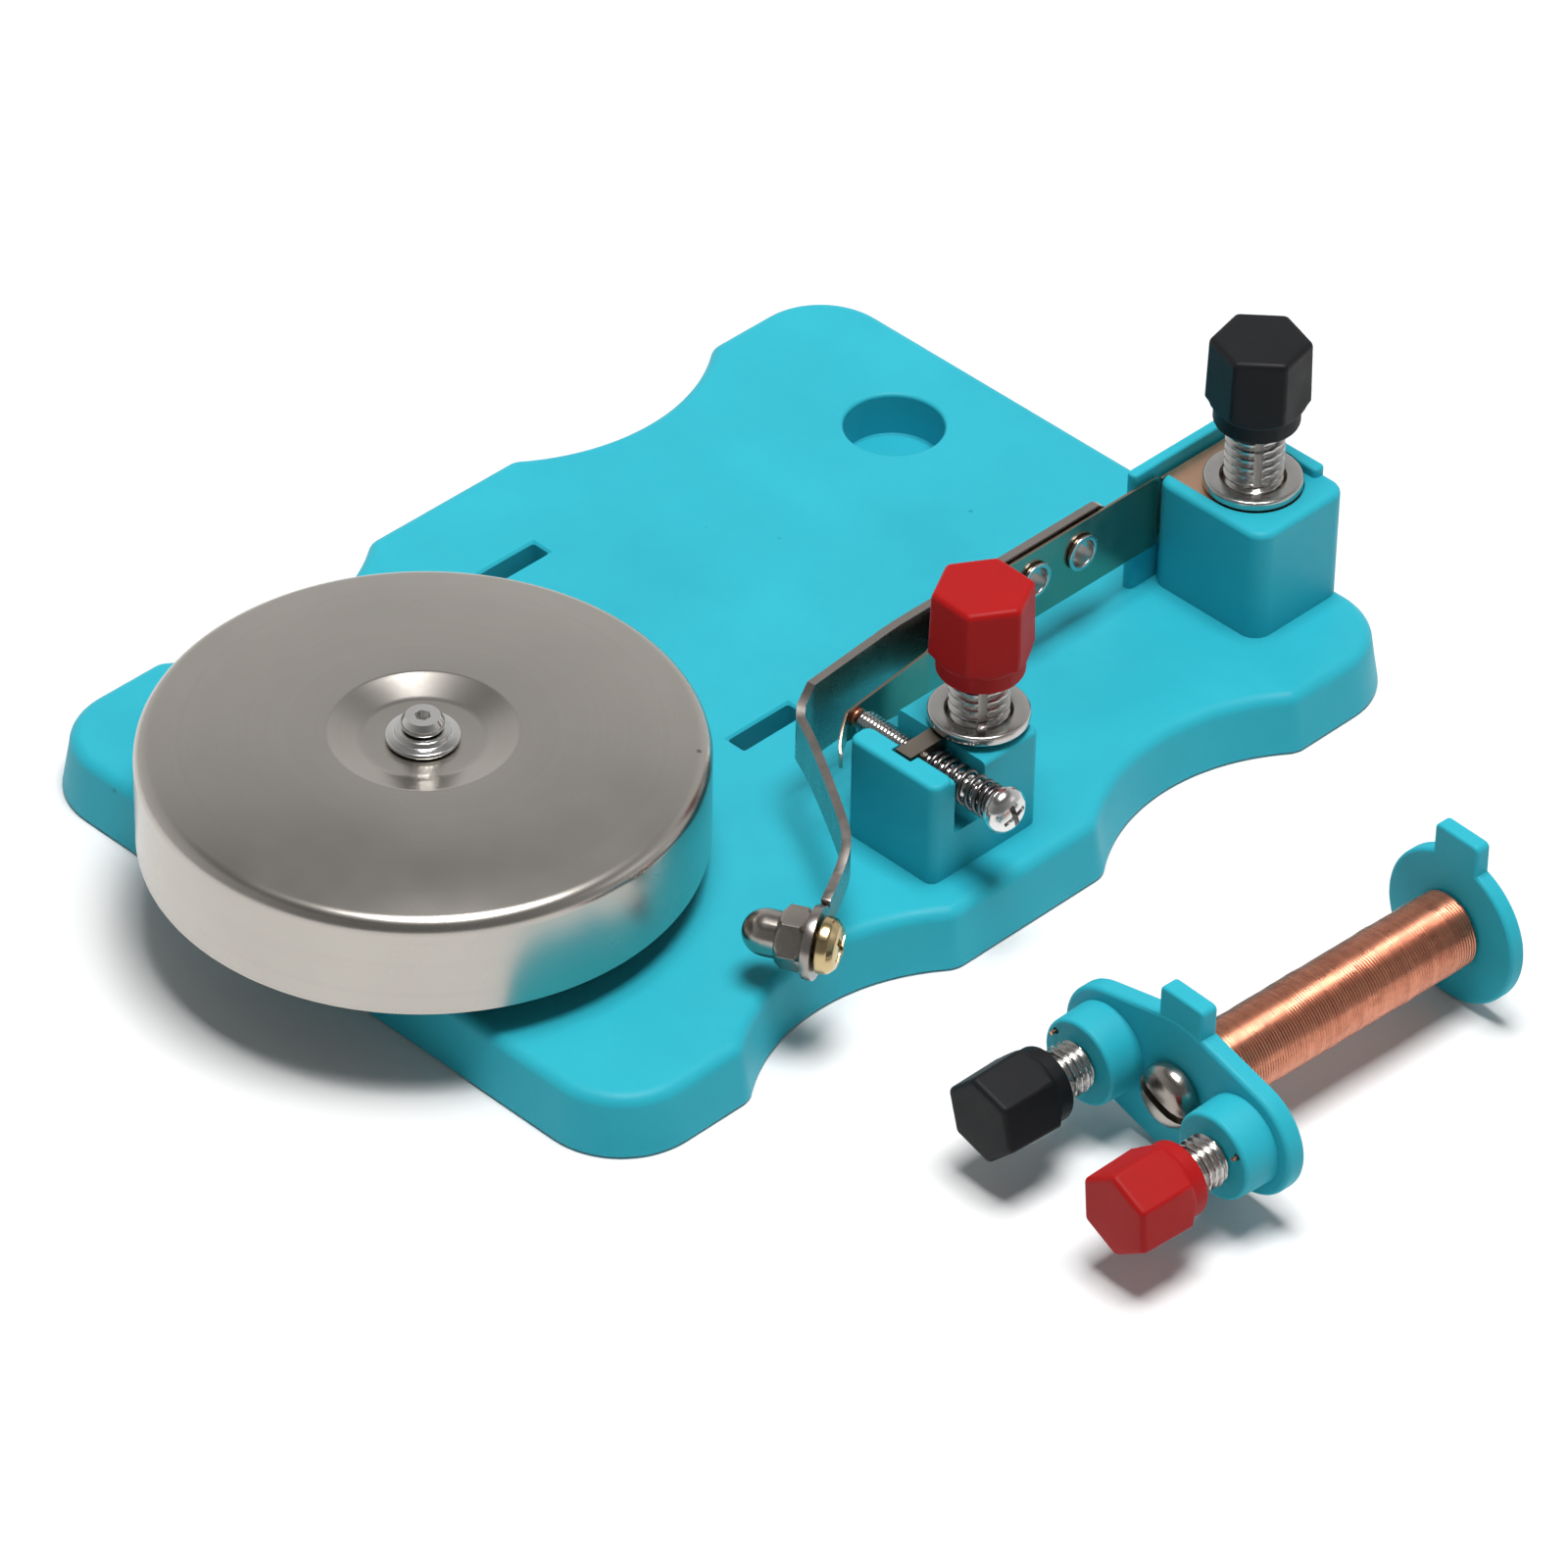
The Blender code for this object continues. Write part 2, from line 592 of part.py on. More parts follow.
def spring_leaf(pivot, copper, button):
    """The free leaf: flat along the armature, then bent away as the contact leaf."""
    start = (*CONTACT_START, 0.0122, 0.0180)
    end = (*CONTACT_END, 0.0136, 0.0171)
    path = [(HINGE_X - 0.0003, LEAF_Y, LEAF_BOTTOM, LEAF_TOP)]
    knots = [(0.0185, LEAF_Y, LEAF_BOTTOM, LEAF_TOP), (0.0165, LEAF_Y - 0.0002, 0.0112, 0.0194)]
    path += smooth_path([*knots, (0.0120, -0.0192, 0.0115, 0.0188), start])
    curl = [(-0.0068, -0.0224, 0.0137, 0.0166), (-0.0081, -0.0234, 0.0138, 0.0160)]
    path += smooth_path([end, *curl, (-0.0087, -0.0242, 0.0138, 0.0156)])
    leaf = piece("spring_leaf", strip(path, LEAF_THICK), copper, pivot, local(pivot))
    for number, x in enumerate(EYELET_XS, 1):
        hole = turned([(EYELET_HOLE, -0.001), (EYELET_HOLE, 0.001)], SMALL_ROUND)
        place = local(pivot) @ aim((0, 1, 0), (x, LEAF_Y, EYELET_Z))
        cut(leaf, f"leaf_hole_{number}", hole, place)
    along = (Vector(CONTACT_END) - Vector(CONTACT_START)).normalized()
    share = (CONTACT_START[0] - SCREW_X) / (CONTACT_START[0] - CONTACT_END[0])
    middle = Vector(CONTACT_START).lerp(Vector(CONTACT_END), share)
    outwards = Vector((-along.y, along.x, 0.0))
    face = Vector((*middle, SCREW_Z)) + outwards * (LEAF_THICK / 2 + BUTTON_GAP)
    dot = turned([(0.0010, 0.0), (0.0010, 0.0003), (0.0006, 0.00045)], SMALL_ROUND)
    piece("contact_button", dot, button, pivot, local(pivot) @ aim(outwards, face))


def local(parent):
    """The world frame as seen from the parent."""
    return Matrix.Translation(-parent.location)


def armature_plate(pivot, steel):
    """The iron plate and its arm, bent towards the hammer, as one piece with a round end."""
    y = LEAF_Y + LEAF_THICK / 2 + SEAT_GAP + PLATE_THICK / 2
    low = LEAF_BOTTOM
    high = LEAF_TOP + 0.0004
    path = [(PLATE_END_X, y, low + 0.0012, high - 0.0012), (PLATE_END_X - 0.0012, y, low, high)]
    path += [(0.0060, y, low, high), (0.0040, y - 0.0001, low, high)]
    path += [(-0.0058, y - 0.0009, low, high), (-0.0070, y - 0.0010, 0.0125, high)]
    path.append((-0.0086, y - 0.0013, 0.0129, 0.0183))
    arm = [(-0.0097, y - 0.0023, 0.0130, 0.0180), (-0.0117, -0.0238, 0.0129, 0.0175)]
    arm += [(-0.0160, -0.0312, 0.0127, 0.0168), (-0.0182, -0.0343, 0.0124, 0.0163)]
    arm += [(-0.0208, -0.0361, 0.0120, 0.0156), (-0.0246, -0.03795, 0.0113, 0.0147)]
    path += smooth_path(arm)
    plate = piece("armature_plate", strip(path, PLATE_THICK), steel, pivot, local(pivot))
    at_hammer = local(pivot) @ aim(HAMMER_AXIS, HAMMER)
    half = PLATE_THICK / 2
    disc = turned([(HAMMER_TAB_RADIUS, -half), (HAMMER_TAB_RADIUS, half)])
    join(plate, "hammer_tab", disc, at_hammer)
    hole = M3_RADIUS + BORE_GAP
    cut(plate, "hammer_hole", turned([(hole, -0.002), (hole, 0.002)], SMALL_ROUND), at_hammer)
    for number, x in enumerate(EYELET_XS, 1):
        place = local(pivot) @ aim((0, 1, 0), (x, y, EYELET_Z))
        hole = turned([(EYELET_HOLE, -0.001), (EYELET_HOLE, 0.001)], SMALL_ROUND)
        cut(plate, f"plate_hole_{number}", hole, place)


def eyelets(pivot, brass):
    barrel = EYELET_HOLE - 0.0002
    inner = barrel - 0.0002
    rim = 0.0021
    front = LEAF_Y - LEAF_THICK / 2 - SEAT_GAP
    back = LEAF_Y + LEAF_THICK / 2 + 2 * SEAT_GAP + PLATE_THICK
    length = back - front
    profile = [(inner, -0.0003), (rim, -0.0003), (rim, 0.0), (barrel, 0.0), (barrel, length)]
    profile += [(rim, length), (rim, length + 0.0003), (inner, length + 0.0003)]
    for name, x in zip(("eyelet_near", "eyelet_far"), EYELET_XS):
        place = local(pivot) @ aim((0, 1, 0), (x, front, EYELET_Z))
        piece(name, turned(profile, SMALL_ROUND, ring=True), brass, pivot, place)


def hammer(pivot, brass, bright):
    """Screw from behind through the arm's tab, and a domed nut facing the gong."""
    at_hammer = local(pivot) @ aim(HAMMER_AXIS, HAMMER)
    face = PLATE_THICK / 2 + SEAT_GAP
    profile = [(0.0016, -face - 0.0019), (0.0024, -face - 0.0016), (0.0028, -face - 0.0009)]
    profile += [(0.0028, -face), (M3_RADIUS, -face), (M3_RADIUS, face + 0.0035)]
    screw = piece("hammer_screw", turned(profile), brass, pivot, at_hammer)
    for number, turn in enumerate((0.0, math.pi / 2), 1):
        slot = box(-0.0013, 0.0013, -0.0003, 0.0003, -0.01, -face - 0.0009)
        cut(screw, f"hammer_recess_{number}", slot, at_hammer @ Matrix.Rotation(turn, 4, "Z"))
    hex_height = 0.0026
    bm = loft([hexagon(0.0055, face), hexagon(0.0055, face + hex_height)])
    acorn = piece("hammer_nut", bm, bright, pivot, at_hammer)
    soften(acorn, 0.0003, 1)
    start = face + hex_height - 0.0002
    dome = [(0.0023, start), (0.0023, start + 0.0017)]
    for step in range(1, 6):
        a = step * math.pi / 11
        dome.append((0.0023 * math.cos(a), start + 0.0017 + 0.0024 * math.sin(a)))
    join(acorn, "hammer_dome", turned(dome, SMALL_ROUND), at_hammer)
    hole = M3_RADIUS + BORE_GAP
    bore = turned([(hole, 0.0), (hole, face + 0.0040)], SMALL_ROUND)
    cut(acorn, "hammer_nut_hole", bore, at_hammer)


# ---------------------------------------------------------------- contact screw


def contact_parts(looks):
    bracket_z = FRONT_TOP + SEAT_GAP / 2
    top = bracket_z + BRACKET_THICK - 0.0001
    ring = turned([(0.0040, bracket_z), (0.0040, top)])
    place = Matrix.Translation((FRONT_POST_X, FRONT_POST_Y, 0.0))
    bracket = piece("contact_bracket", ring, looks["steel"], None, place)
    arm = box(-0.0069, FRONT_POST_X, BRACKET_TAB_Y, BRACKET_TAB_Y + 0.0020, bracket_z, top)
    join(bracket, "bracket_arm", arm)
    tab_x = (GROOVE_X0 + SEAT_GAP, GROOVE_X1 - SEAT_GAP)
    tab = box(*tab_x, BRACKET_TAB_Y, BRACKET_TAB_Y + 0.0007, GROOVE_FLOOR + 0.0006, top)
    join(bracket, "bracket_tab", tab)
    hole = SHANK_RADIUS + BORE_GAP
    cut(bracket, "bracket_post_hole", turned([(hole, 0.016), (hole, 0.020)], SMALL_ROUND), place)
    screw_line = aim((0, 1, 0), (SCREW_X, 0.0, SCREW_Z))
    clear = SCREW_RADIUS + BORE_GAP
    cut(bracket, "bracket_screw_hole", turned([(clear, -0.033), (clear, -0.030)], SMALL_ROUND), screw_line)

    head = SCREW_HEAD_Y
    profile = [(0.0012, head - SCREW_HEAD_HEIGHT), (0.0019, head - SCREW_HEAD_HEIGHT + 0.0004)]
    profile += [(SCREW_HEAD_RADIUS, head - 0.0007), (SCREW_HEAD_RADIUS, head), (SCREW_RADIUS, head)]
    profile += [(SCREW_RADIUS, SCREW_TIP_Y - 0.0004), (0.0008, SCREW_TIP_Y)]
    screw = piece("contact_screw", turned(profile, SMALL_ROUND), looks["bright"], None, screw_line)
    for number, turn in enumerate((0.0, math.pi / 2), 1):
        slot = box(-0.0012, 0.0012, -0.00028, 0.00028, -0.05, head - 0.0008)
        place = screw_line @ Matrix.Rotation(turn + 0.5, 4, "Z")
        cut(screw, f"contact_recess_{number}", slot, place)
    front = head + SEAT_GAP
    washer = tube(clear, 0.0021, front, front + 0.0004, SMALL_ROUND)
    piece("contact_screw_washer", washer, looks["bright"], None, screw_line)
    contact_spring(front + 0.0004 + SEAT_GAP, BRACKET_TAB_Y - SEAT_GAP, looks["bright"])


def contact_spring(start, end, look):
    """A compression spring along the screw, as a wound wire."""
    curve = bpy.data.curves.new("contact_spring", "CURVE")
    curve.dimensions = "3D"
    curve.bevel_depth = SPRING_WIRE
    curve.bevel_resolution = 1
    curve.use_fill_caps = True
    steps = 12 * SPRING_TURNS
    line = curve.splines.new("POLY")
    line.points.add(steps)
    y0 = start + SPRING_WIRE
    y1 = end - SPRING_WIRE
    for i, point in enumerate(line.points):
        a = 2 * math.pi * SPRING_TURNS * i / steps
        x = SPRING_RADIUS * math.cos(a)
        z = SPRING_RADIUS * math.sin(a)
        point.co = (x, y0 + (y1 - y0) * i / steps, z, 1.0)
    spring = bpy.data.objects.new("contact_spring", curve)
    spring.location = (SCREW_X, 0.0, SCREW_Z)
    curve.materials.append(look)
    bpy.context.scene.collection.objects.link(spring)


# ---------------------------------------------------------------- electromagnet


def across(u):
    """A matrix whose local +Z runs along the core from the given distance."""
    return aim((1, 0, 0), (u, 0.0, FLANGE_RADIUS))


def flange_outline():
    """The front flange seen along the core: two lobes blended into a round middle."""
    reach = LOBE_SPACING / 2
    lean = math.asin((FLANGE_RADIUS - LOBE_RADIUS) / reach)
    points = []
    for middle, radius, start, end, steps in (
        (reach, LOBE_RADIUS, -math.pi / 2 + lean, math.pi / 2 - lean, 12),
        (0.0, FLANGE_RADIUS, math.pi / 2 - lean, math.pi / 2 + lean, 6),
        (-reach, LOBE_RADIUS, math.pi / 2 + lean, 1.5 * math.pi - lean, 12),
        (0.0, FLANGE_RADIUS, 1.5 * math.pi - lean, 1.5 * math.pi + lean, 6),
    ):
        points += arc(middle, 0.0, radius, start, end, steps)
    return points


def standing(outline, u0, u1):
    """A prism of an outline in the flange's plane, given as (across, up), along the core."""
    sections = []
    for u in (u0, u1):
        sections.append([Vector((u, v, FLANGE_RADIUS + w)) for v, w in outline])
    return loft(sections)


def coil_bobbin(frame, look):
    bobbin = piece("coil_bobbin", standing(flange_outline(), -PLATE_HALF, PLATE_HALF), look, frame)
    disc0 = TAB_SPACING - DISC_HALF
    disc = turned([(FLANGE_RADIUS, 0.0), (FLANGE_RADIUS, 2 * DISC_HALF)], 48)
    join(bobbin, "rear_disc", disc, across(disc0))
    tab = rounded_box_outline(-TAB_WIDTH / 2, TAB_WIDTH / 2, 0.0, TAB_TOP, 0.0006, 3)
    for number, u in enumerate((0.0, TAB_SPACING), 1):
        join(bobbin, f"tab_{number}", standing(tab, u - TAB_HALF, u + TAB_HALF))
    for number, side in enumerate((-1, 1), 1):
        boss = turned([(BOSS_RADIUS, 0.0), (BOSS_RADIUS - 0.0002, -BOSS_FACE)], 32)
        place = aim((-1, 0, 0), (0.0, side * LOBE_SPACING / 2, FLANGE_RADIUS))
        join(bobbin, f"boss_{number}", boss, place)
    sleeve = turned([(TUBE_RADIUS, 0.0), (TUBE_RADIUS, TAB_SPACING)], 32)
    join(bobbin, "sleeve", sleeve, across(0.0))
    bore = CORE_RADIUS + BORE_GAP
    cut(bobbin, "core_bore", turned([(bore, -0.01), (bore, 0.05)], SMALL_ROUND), across(0.0))
    for number, side in enumerate((-1, 1), 1):
        hole = SHANK_RADIUS * COIL_POST_SCALE + BORE_GAP
        place = aim((-1, 0, 0), (0.0, side * LOBE_SPACING / 2, FLANGE_RADIUS))
        cut(bobbin, f"boss_hole_{number}", turned([(hole, -0.01), (hole, 0.01)], SMALL_ROUND), place)
        pocket = COIL_NUT_ACROSS_FLATS + 0.0004
        depth = PLATE_HALF - COIL_NUT_HEIGHT - SEAT_GAP
        recess = loft([hexagon(pocket, depth), hexagon(pocket, PLATE_HALF + OVERSHOOT)])
        cut(bobbin, f"nut_pocket_{number}", recess, aim((1, 0, 0), (0.0, side * LOBE_SPACING / 2, FLANGE_RADIUS)))
        v = side * (LOBE_SPACING / 2 + LEAD_HOLE_OUT)
        lead_hole = turned([(LEAD_RADIUS + BORE_GAP, -0.01), (LEAD_RADIUS + BORE_GAP, 0.01)], 12)
        cut(bobbin, f"lead_hole_{number}", lead_hole, aim((1, 0, 0), (0.0, v, FLANGE_RADIUS + LEAD_HOLE_UP)))


def winding_and_core(frame, looks):
    start = PLATE_HALF + 0.0003
    end = TAB_SPACING - DISC_HALF - 0.0003
    winding = tube(TUBE_RADIUS + 0.0002, COIL_RADIUS, start, end)
    piece("coil_winding", winding, looks["copper_wire"], frame, across(0.0))
    head = PLATE_HALF + SEAT_GAP
    profile = [(0.0018, -head - 0.0023), (0.0028, -head - 0.0019), (CORE_HEAD_RADIUS, -head - 0.0010)]
    profile += [(CORE_HEAD_RADIUS, -head), (CORE_RADIUS, -head), (CORE_RADIUS, TAB_SPACING + 0.0038)]
    bolt = piece("core_bolt", turned(profile), looks["nickel"], frame, across(0.0))
    slot = box(-0.004, 0.004, -0.0005, 0.0005, -0.01, -head - 0.0011)
    cut(bolt, "core_slot", slot, across(0.0) @ Matrix.Rotation(math.radians(20), 4, "Z"))
    place = across(TAB_SPACING + DISC_HALF + SEAT_GAP)
    nut("core_nut", looks["nickel"], frame, place, 0.0020, 0.0062, CORE_RADIUS + BORE_GAP)


def coil_lead(name, frame, side, look):
    """The winding's end: across the back of the flange, then through the boss beside the stud."""
    curve = bpy.data.curves.new(name, "CURVE")
    curve.dimensions = "3D"
    curve.bevel_depth = LEAD_RADIUS
    curve.bevel_resolution = 1
    curve.use_fill_caps = True
    back = PLATE_HALF + 0.0005
    v = side * (LOBE_SPACING / 2 + LEAD_HOLE_OUT)
    w = FLANGE_RADIUS + LEAD_HOLE_UP
    knots = [(back + 0.0006, side * 0.0026, FLANGE_RADIUS + 0.0040)]
    knots += [(back + 0.0002, side * 0.0060, FLANGE_RADIUS + 0.0046)]
    knots += [(back, v - side * 0.0020, w + 0.0010), (back, v - side * 0.0004, w + 0.0001)]
    knots += [(back - 0.0006, v, w), (-PLATE_HALF, v, w), (BOSS_FACE - 0.0006, v, w)]
    points = smooth_path(knots, 3)
    line = curve.splines.new("POLY")
    line.points.add(len(points) - 1)
    for point, place in zip(line.points, points):
        point.co = (*place, 1.0)
    lead = bpy.data.objects.new(name, curve)
    lead.parent = frame
    curve.materials.append(look)
    bpy.context.scene.collection.objects.link(lead)


def coil_posts(frame, looks):
    hole = SHANK_RADIUS * COIL_POST_SCALE + BORE_GAP
    for colour, side, cap_turn in (("black", 1, 46), ("red", -1, 35)):
        y = side * LOBE_SPACING / 2
        seat = aim((-1, 0, 0), (BOSS_FACE - SEAT_GAP, y, FLANGE_RADIUS))
        size = (COIL_POST_SCALE, 0.0080, BOSS_FACE - PLATE_HALF + 0.0002, 0.0039)
        name = f"coil_post_{colour}"
        turns = (math.radians(-30), math.radians(cap_turn))
        binding_post(name, f"coil_cap_{colour}", frame, seat, looks, size, turns)
        place = aim((1, 0, 0), (PLATE_HALF - COIL_NUT_HEIGHT, y, FLANGE_RADIUS))
        nut(name + "_nut", looks["steel"], frame, place, COIL_NUT_HEIGHT, COIL_NUT_ACROSS_FLATS, hole)
        coil_lead(f"coil_lead_{colour}", frame, side, looks["copper_wire"])


def main():
    clear_scene()
    teal = finish("teal_plastic", (0.030, 0.470, 0.560), 0.42)
    red = finish("red_plastic", (0.480, 0.012, 0.010), 0.45)
    black = finish("black_plastic", (0.010, 0.011, 0.012), 0.45)
    looks = {
        "steel": finish("zinc_steel", (0.600, 0.590, 0.570), 0.30, 1.0),
        "bright": finish("bright_steel", (0.720, 0.710, 0.690), 0.18, 1.0),
        "nickel": finish("dark_nickel", (0.330, 0.310, 0.290), 0.25, 1.0),
        "brass": finish("brass", (0.620, 0.450, 0.200), 0.25, 1.0),
        "copper_wire": finish("enamelled_copper", (0.480, 0.170, 0.090), 0.30, 1.0),
        "rear_cap": black,
        "front_cap": red,
        "coil_cap_black": black,
        "coil_cap_red": red,
    }
    copper = finish("phosphor_bronze", (0.650, 0.400, 0.270), 0.30, 1.0)
    gong_steel = finish("gong_steel", (0.500, 0.480, 0.455), 0.24, 1.0)

    base = base_body(teal)
    add_blocks(base)
    cut_rear_block(base)
    cut_front_block(base)
    cut_holes(base)
    make_gong(gong_steel, looks["bright"])
    base_posts(looks)
    leaf_mount(copper)
    contact_parts(looks)

    pivot = empty("armature_pivot", (HINGE_X, LEAF_Y, EYELET_Z))
    spring_leaf(pivot, copper, looks["copper_wire"])
    armature_plate(pivot, looks["steel"])
    eyelets(pivot, looks["brass"])
    hammer(pivot, looks["brass"], looks["bright"])

    frame = empty("electromagnet_frame", MAGNET_PLACE, MAGNET_TURN)
    coil_bobbin(frame, teal)
    winding_and_core(frame, looks)
    coil_posts(frame, looks)


main()
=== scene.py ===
"""Looks of the electric bell teaching kit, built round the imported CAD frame.

Units are metres, in the CAD's own frame: +Z is up, X runs along the base from the gong to the
rear post, and the electromagnet lies in front of the base.
"""

import json
from math import asin, atan, atan2, cos, pi, radians, sin, sqrt, tan

import bmesh
import bpy
from mathutils import Matrix, Vector

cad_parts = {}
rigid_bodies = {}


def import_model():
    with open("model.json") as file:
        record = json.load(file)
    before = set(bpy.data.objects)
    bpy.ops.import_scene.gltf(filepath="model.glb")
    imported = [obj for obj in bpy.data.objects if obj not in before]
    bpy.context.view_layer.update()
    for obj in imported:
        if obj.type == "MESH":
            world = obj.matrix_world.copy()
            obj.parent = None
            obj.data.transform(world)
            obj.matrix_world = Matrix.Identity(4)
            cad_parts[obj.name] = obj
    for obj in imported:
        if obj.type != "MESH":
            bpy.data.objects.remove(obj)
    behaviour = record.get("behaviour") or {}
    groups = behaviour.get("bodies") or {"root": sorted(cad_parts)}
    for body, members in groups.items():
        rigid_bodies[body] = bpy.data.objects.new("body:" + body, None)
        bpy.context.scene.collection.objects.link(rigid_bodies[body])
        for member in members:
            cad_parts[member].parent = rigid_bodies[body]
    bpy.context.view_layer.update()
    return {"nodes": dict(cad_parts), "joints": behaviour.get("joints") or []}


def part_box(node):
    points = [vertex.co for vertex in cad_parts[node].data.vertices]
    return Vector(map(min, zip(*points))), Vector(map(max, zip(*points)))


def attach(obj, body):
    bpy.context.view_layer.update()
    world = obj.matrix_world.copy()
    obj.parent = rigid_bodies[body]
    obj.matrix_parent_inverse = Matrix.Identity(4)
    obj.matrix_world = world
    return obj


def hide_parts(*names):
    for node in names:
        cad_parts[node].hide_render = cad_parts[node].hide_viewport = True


for leftover in list(bpy.data.objects):
    bpy.data.objects.remove(leftover, do_unlink=True)
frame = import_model()
NODES = frame["nodes"]
JOINTS = {joint["name"]: joint for joint in frame["joints"]}

IDENTITY = Matrix.Identity(4)
UP = Vector((0.0, 0.0, 1.0))
OVERSHOOT = 0.001
TAU = 2 * pi
MIX_FIRST, MIX_SECOND, MIX_RESULT = 6, 7, 2  # the colour sockets of a mix node


# ---------- materials


class Look:
    """A material under construction. Each method adds nodes and gives back an output."""

    def __init__(self, name, roughness, metallic=0.0, specular=0.5):
        self.material = bpy.data.materials.new(name)
        self.material.use_nodes = True
        self.tree = self.material.node_tree
        self.shader = self.tree.nodes["Principled BSDF"]
        self.shader.inputs["Roughness"].default_value = roughness
        self.shader.inputs["Metallic"].default_value = metallic
        self.shader.inputs["Specular IOR Level"].default_value = specular
        self.coords = self.tree.nodes.new("ShaderNodeTexCoord").outputs["Object"]

    def node(self, kind, inputs, **settings):
        made = self.tree.nodes.new(kind)
        for key, value in settings.items():
            setattr(made, key, value)
        for key, value in inputs.items():
            if isinstance(value, bpy.types.NodeSocket):
                self.tree.links.new(value, made.inputs[key])
            else:
                made.inputs[key].default_value = value
        return made

    def stretched(self, scale):
        return self.node("ShaderNodeMapping", {"Vector": self.coords, "Scale": scale}).outputs[0]

    def noise(self, scale, detail=3.0, roughness=0.55, vector=None):
        inputs = {"Vector": vector or self.coords, "Scale": scale, "Detail": detail}
        inputs["Roughness"] = roughness
        return self.node("ShaderNodeTexNoise", inputs).outputs["Fac"]

    def specks(self, scale, size, vector=None):
        """1 inside small scattered dots, 0 elsewhere."""
        inputs = {"Vector": vector or self.coords, "Scale": scale, "Randomness": 1.0}
        spots = self.node("ShaderNodeTexVoronoi", inputs).outputs["Distance"]
        return self.span(spots, size, size * 0.4, 0.0, 1.0)

    def span(self, value, start, end, low, high):
        inputs = {"Value": value, "From Min": start, "From Max": end, "To Min": low, "To Max": high}
        return self.node("ShaderNodeMapRange", inputs).outputs[0]

    def calc(self, operation, first, second):
        return self.node("ShaderNodeMath", {0: first, 1: second}, operation=operation).outputs[0]

    def blend(self, share, first, second):
        inputs = {"Factor": share, MIX_FIRST: self.colour(first), MIX_SECOND: self.colour(second)}
        return self.node("ShaderNodeMix", inputs, data_type="RGBA").outputs[MIX_RESULT]

    @staticmethod
    def colour(value):
        return (*value, 1.0) if isinstance(value, tuple) else value

    def bump(self, height, distance, strength=1.0, below=None):
        inputs = {"Height": height, "Distance": distance, "Strength": strength}
        if below is not None:
            inputs["Normal"] = below
        return self.node("ShaderNodeBump", inputs).outputs[0]

    def wire(self, **outputs):
        for key, output in outputs.items():
            self.tree.links.new(output, self.shader.inputs[key.replace("_", " ")])
        return self.material


def plastic(name, colour, deep, roughness, grain, glow):
    """Injection-moulded plastic: cloudy colour, specks, a fine mould grain and dull patches."""
    look = Look(name, roughness, specular=0.18)
    look.shader.inputs["Subsurface Weight"].default_value = glow
    look.shader.inputs["Subsurface Radius"].default_value = (0.4, 1.0, 1.0)
    look.shader.inputs["Subsurface Scale"].default_value = 0.0012
    clouds = look.noise(55.0, 4.0)
    base = look.blend(look.span(clouds, 0.3, 0.75, 0.0, 1.0), colour, deep)
    fine = look.noise(900.0, 3.0)
    base = look.blend(look.span(fine, 0.45, 0.8, 0.0, 0.16), base, deep)
    dirt = look.calc("MULTIPLY", look.specks(150.0, 0.045), look.span(clouds, 0.46, 0.56, 0.0, 0.55))
    base = look.blend(dirt, base, tuple(0.35 * c for c in deep))
    rough = look.span(look.noise(130.0, 5.0), 0.3, 0.7, roughness - 0.07, roughness + 0.1)
    height = look.bump(look.noise(5200.0, 2.0), grain)
    height = look.bump(look.noise(160.0, 2.0), grain * 5, 0.5, height)
    return look.wire(Base_Color=base, Roughness=rough, Normal=height)


def metal(name, colour, stain, roughness, stretch=(1.0, 1.0, 1.0), marks=0.000002, pits=0.0):
    """Plated or rolled metal: a clouded tint, a fine drawn grain, smears and scattered pits."""
    look = Look(name, roughness, 1.0)
    clouds = look.noise(240.0, 3.0)
    base = look.blend(look.span(clouds, 0.35, 0.75, 0.0, 0.5), colour, stain)
    grain = look.noise(2200.0, 3.0, 0.5, look.stretched(stretch))
    base = look.blend(look.span(grain, 0.5, 0.8, 0.0, 0.25), base, stain)
    smears = look.span(look.noise(420.0, 3.0), 0.3, 0.7, roughness - 0.03, roughness + 0.05)
    height = look.bump(grain, marks)
    if pits:
        dots = look.specks(260.0, 0.05)
        base = look.blend(look.calc("MULTIPLY", dots, pits), base, tuple(0.3 * c for c in stain))
        height = look.bump(dots, marks * 2, 1.0, height)
    return look.wire(Base_Color=base, Roughness=smears, Normal=height)


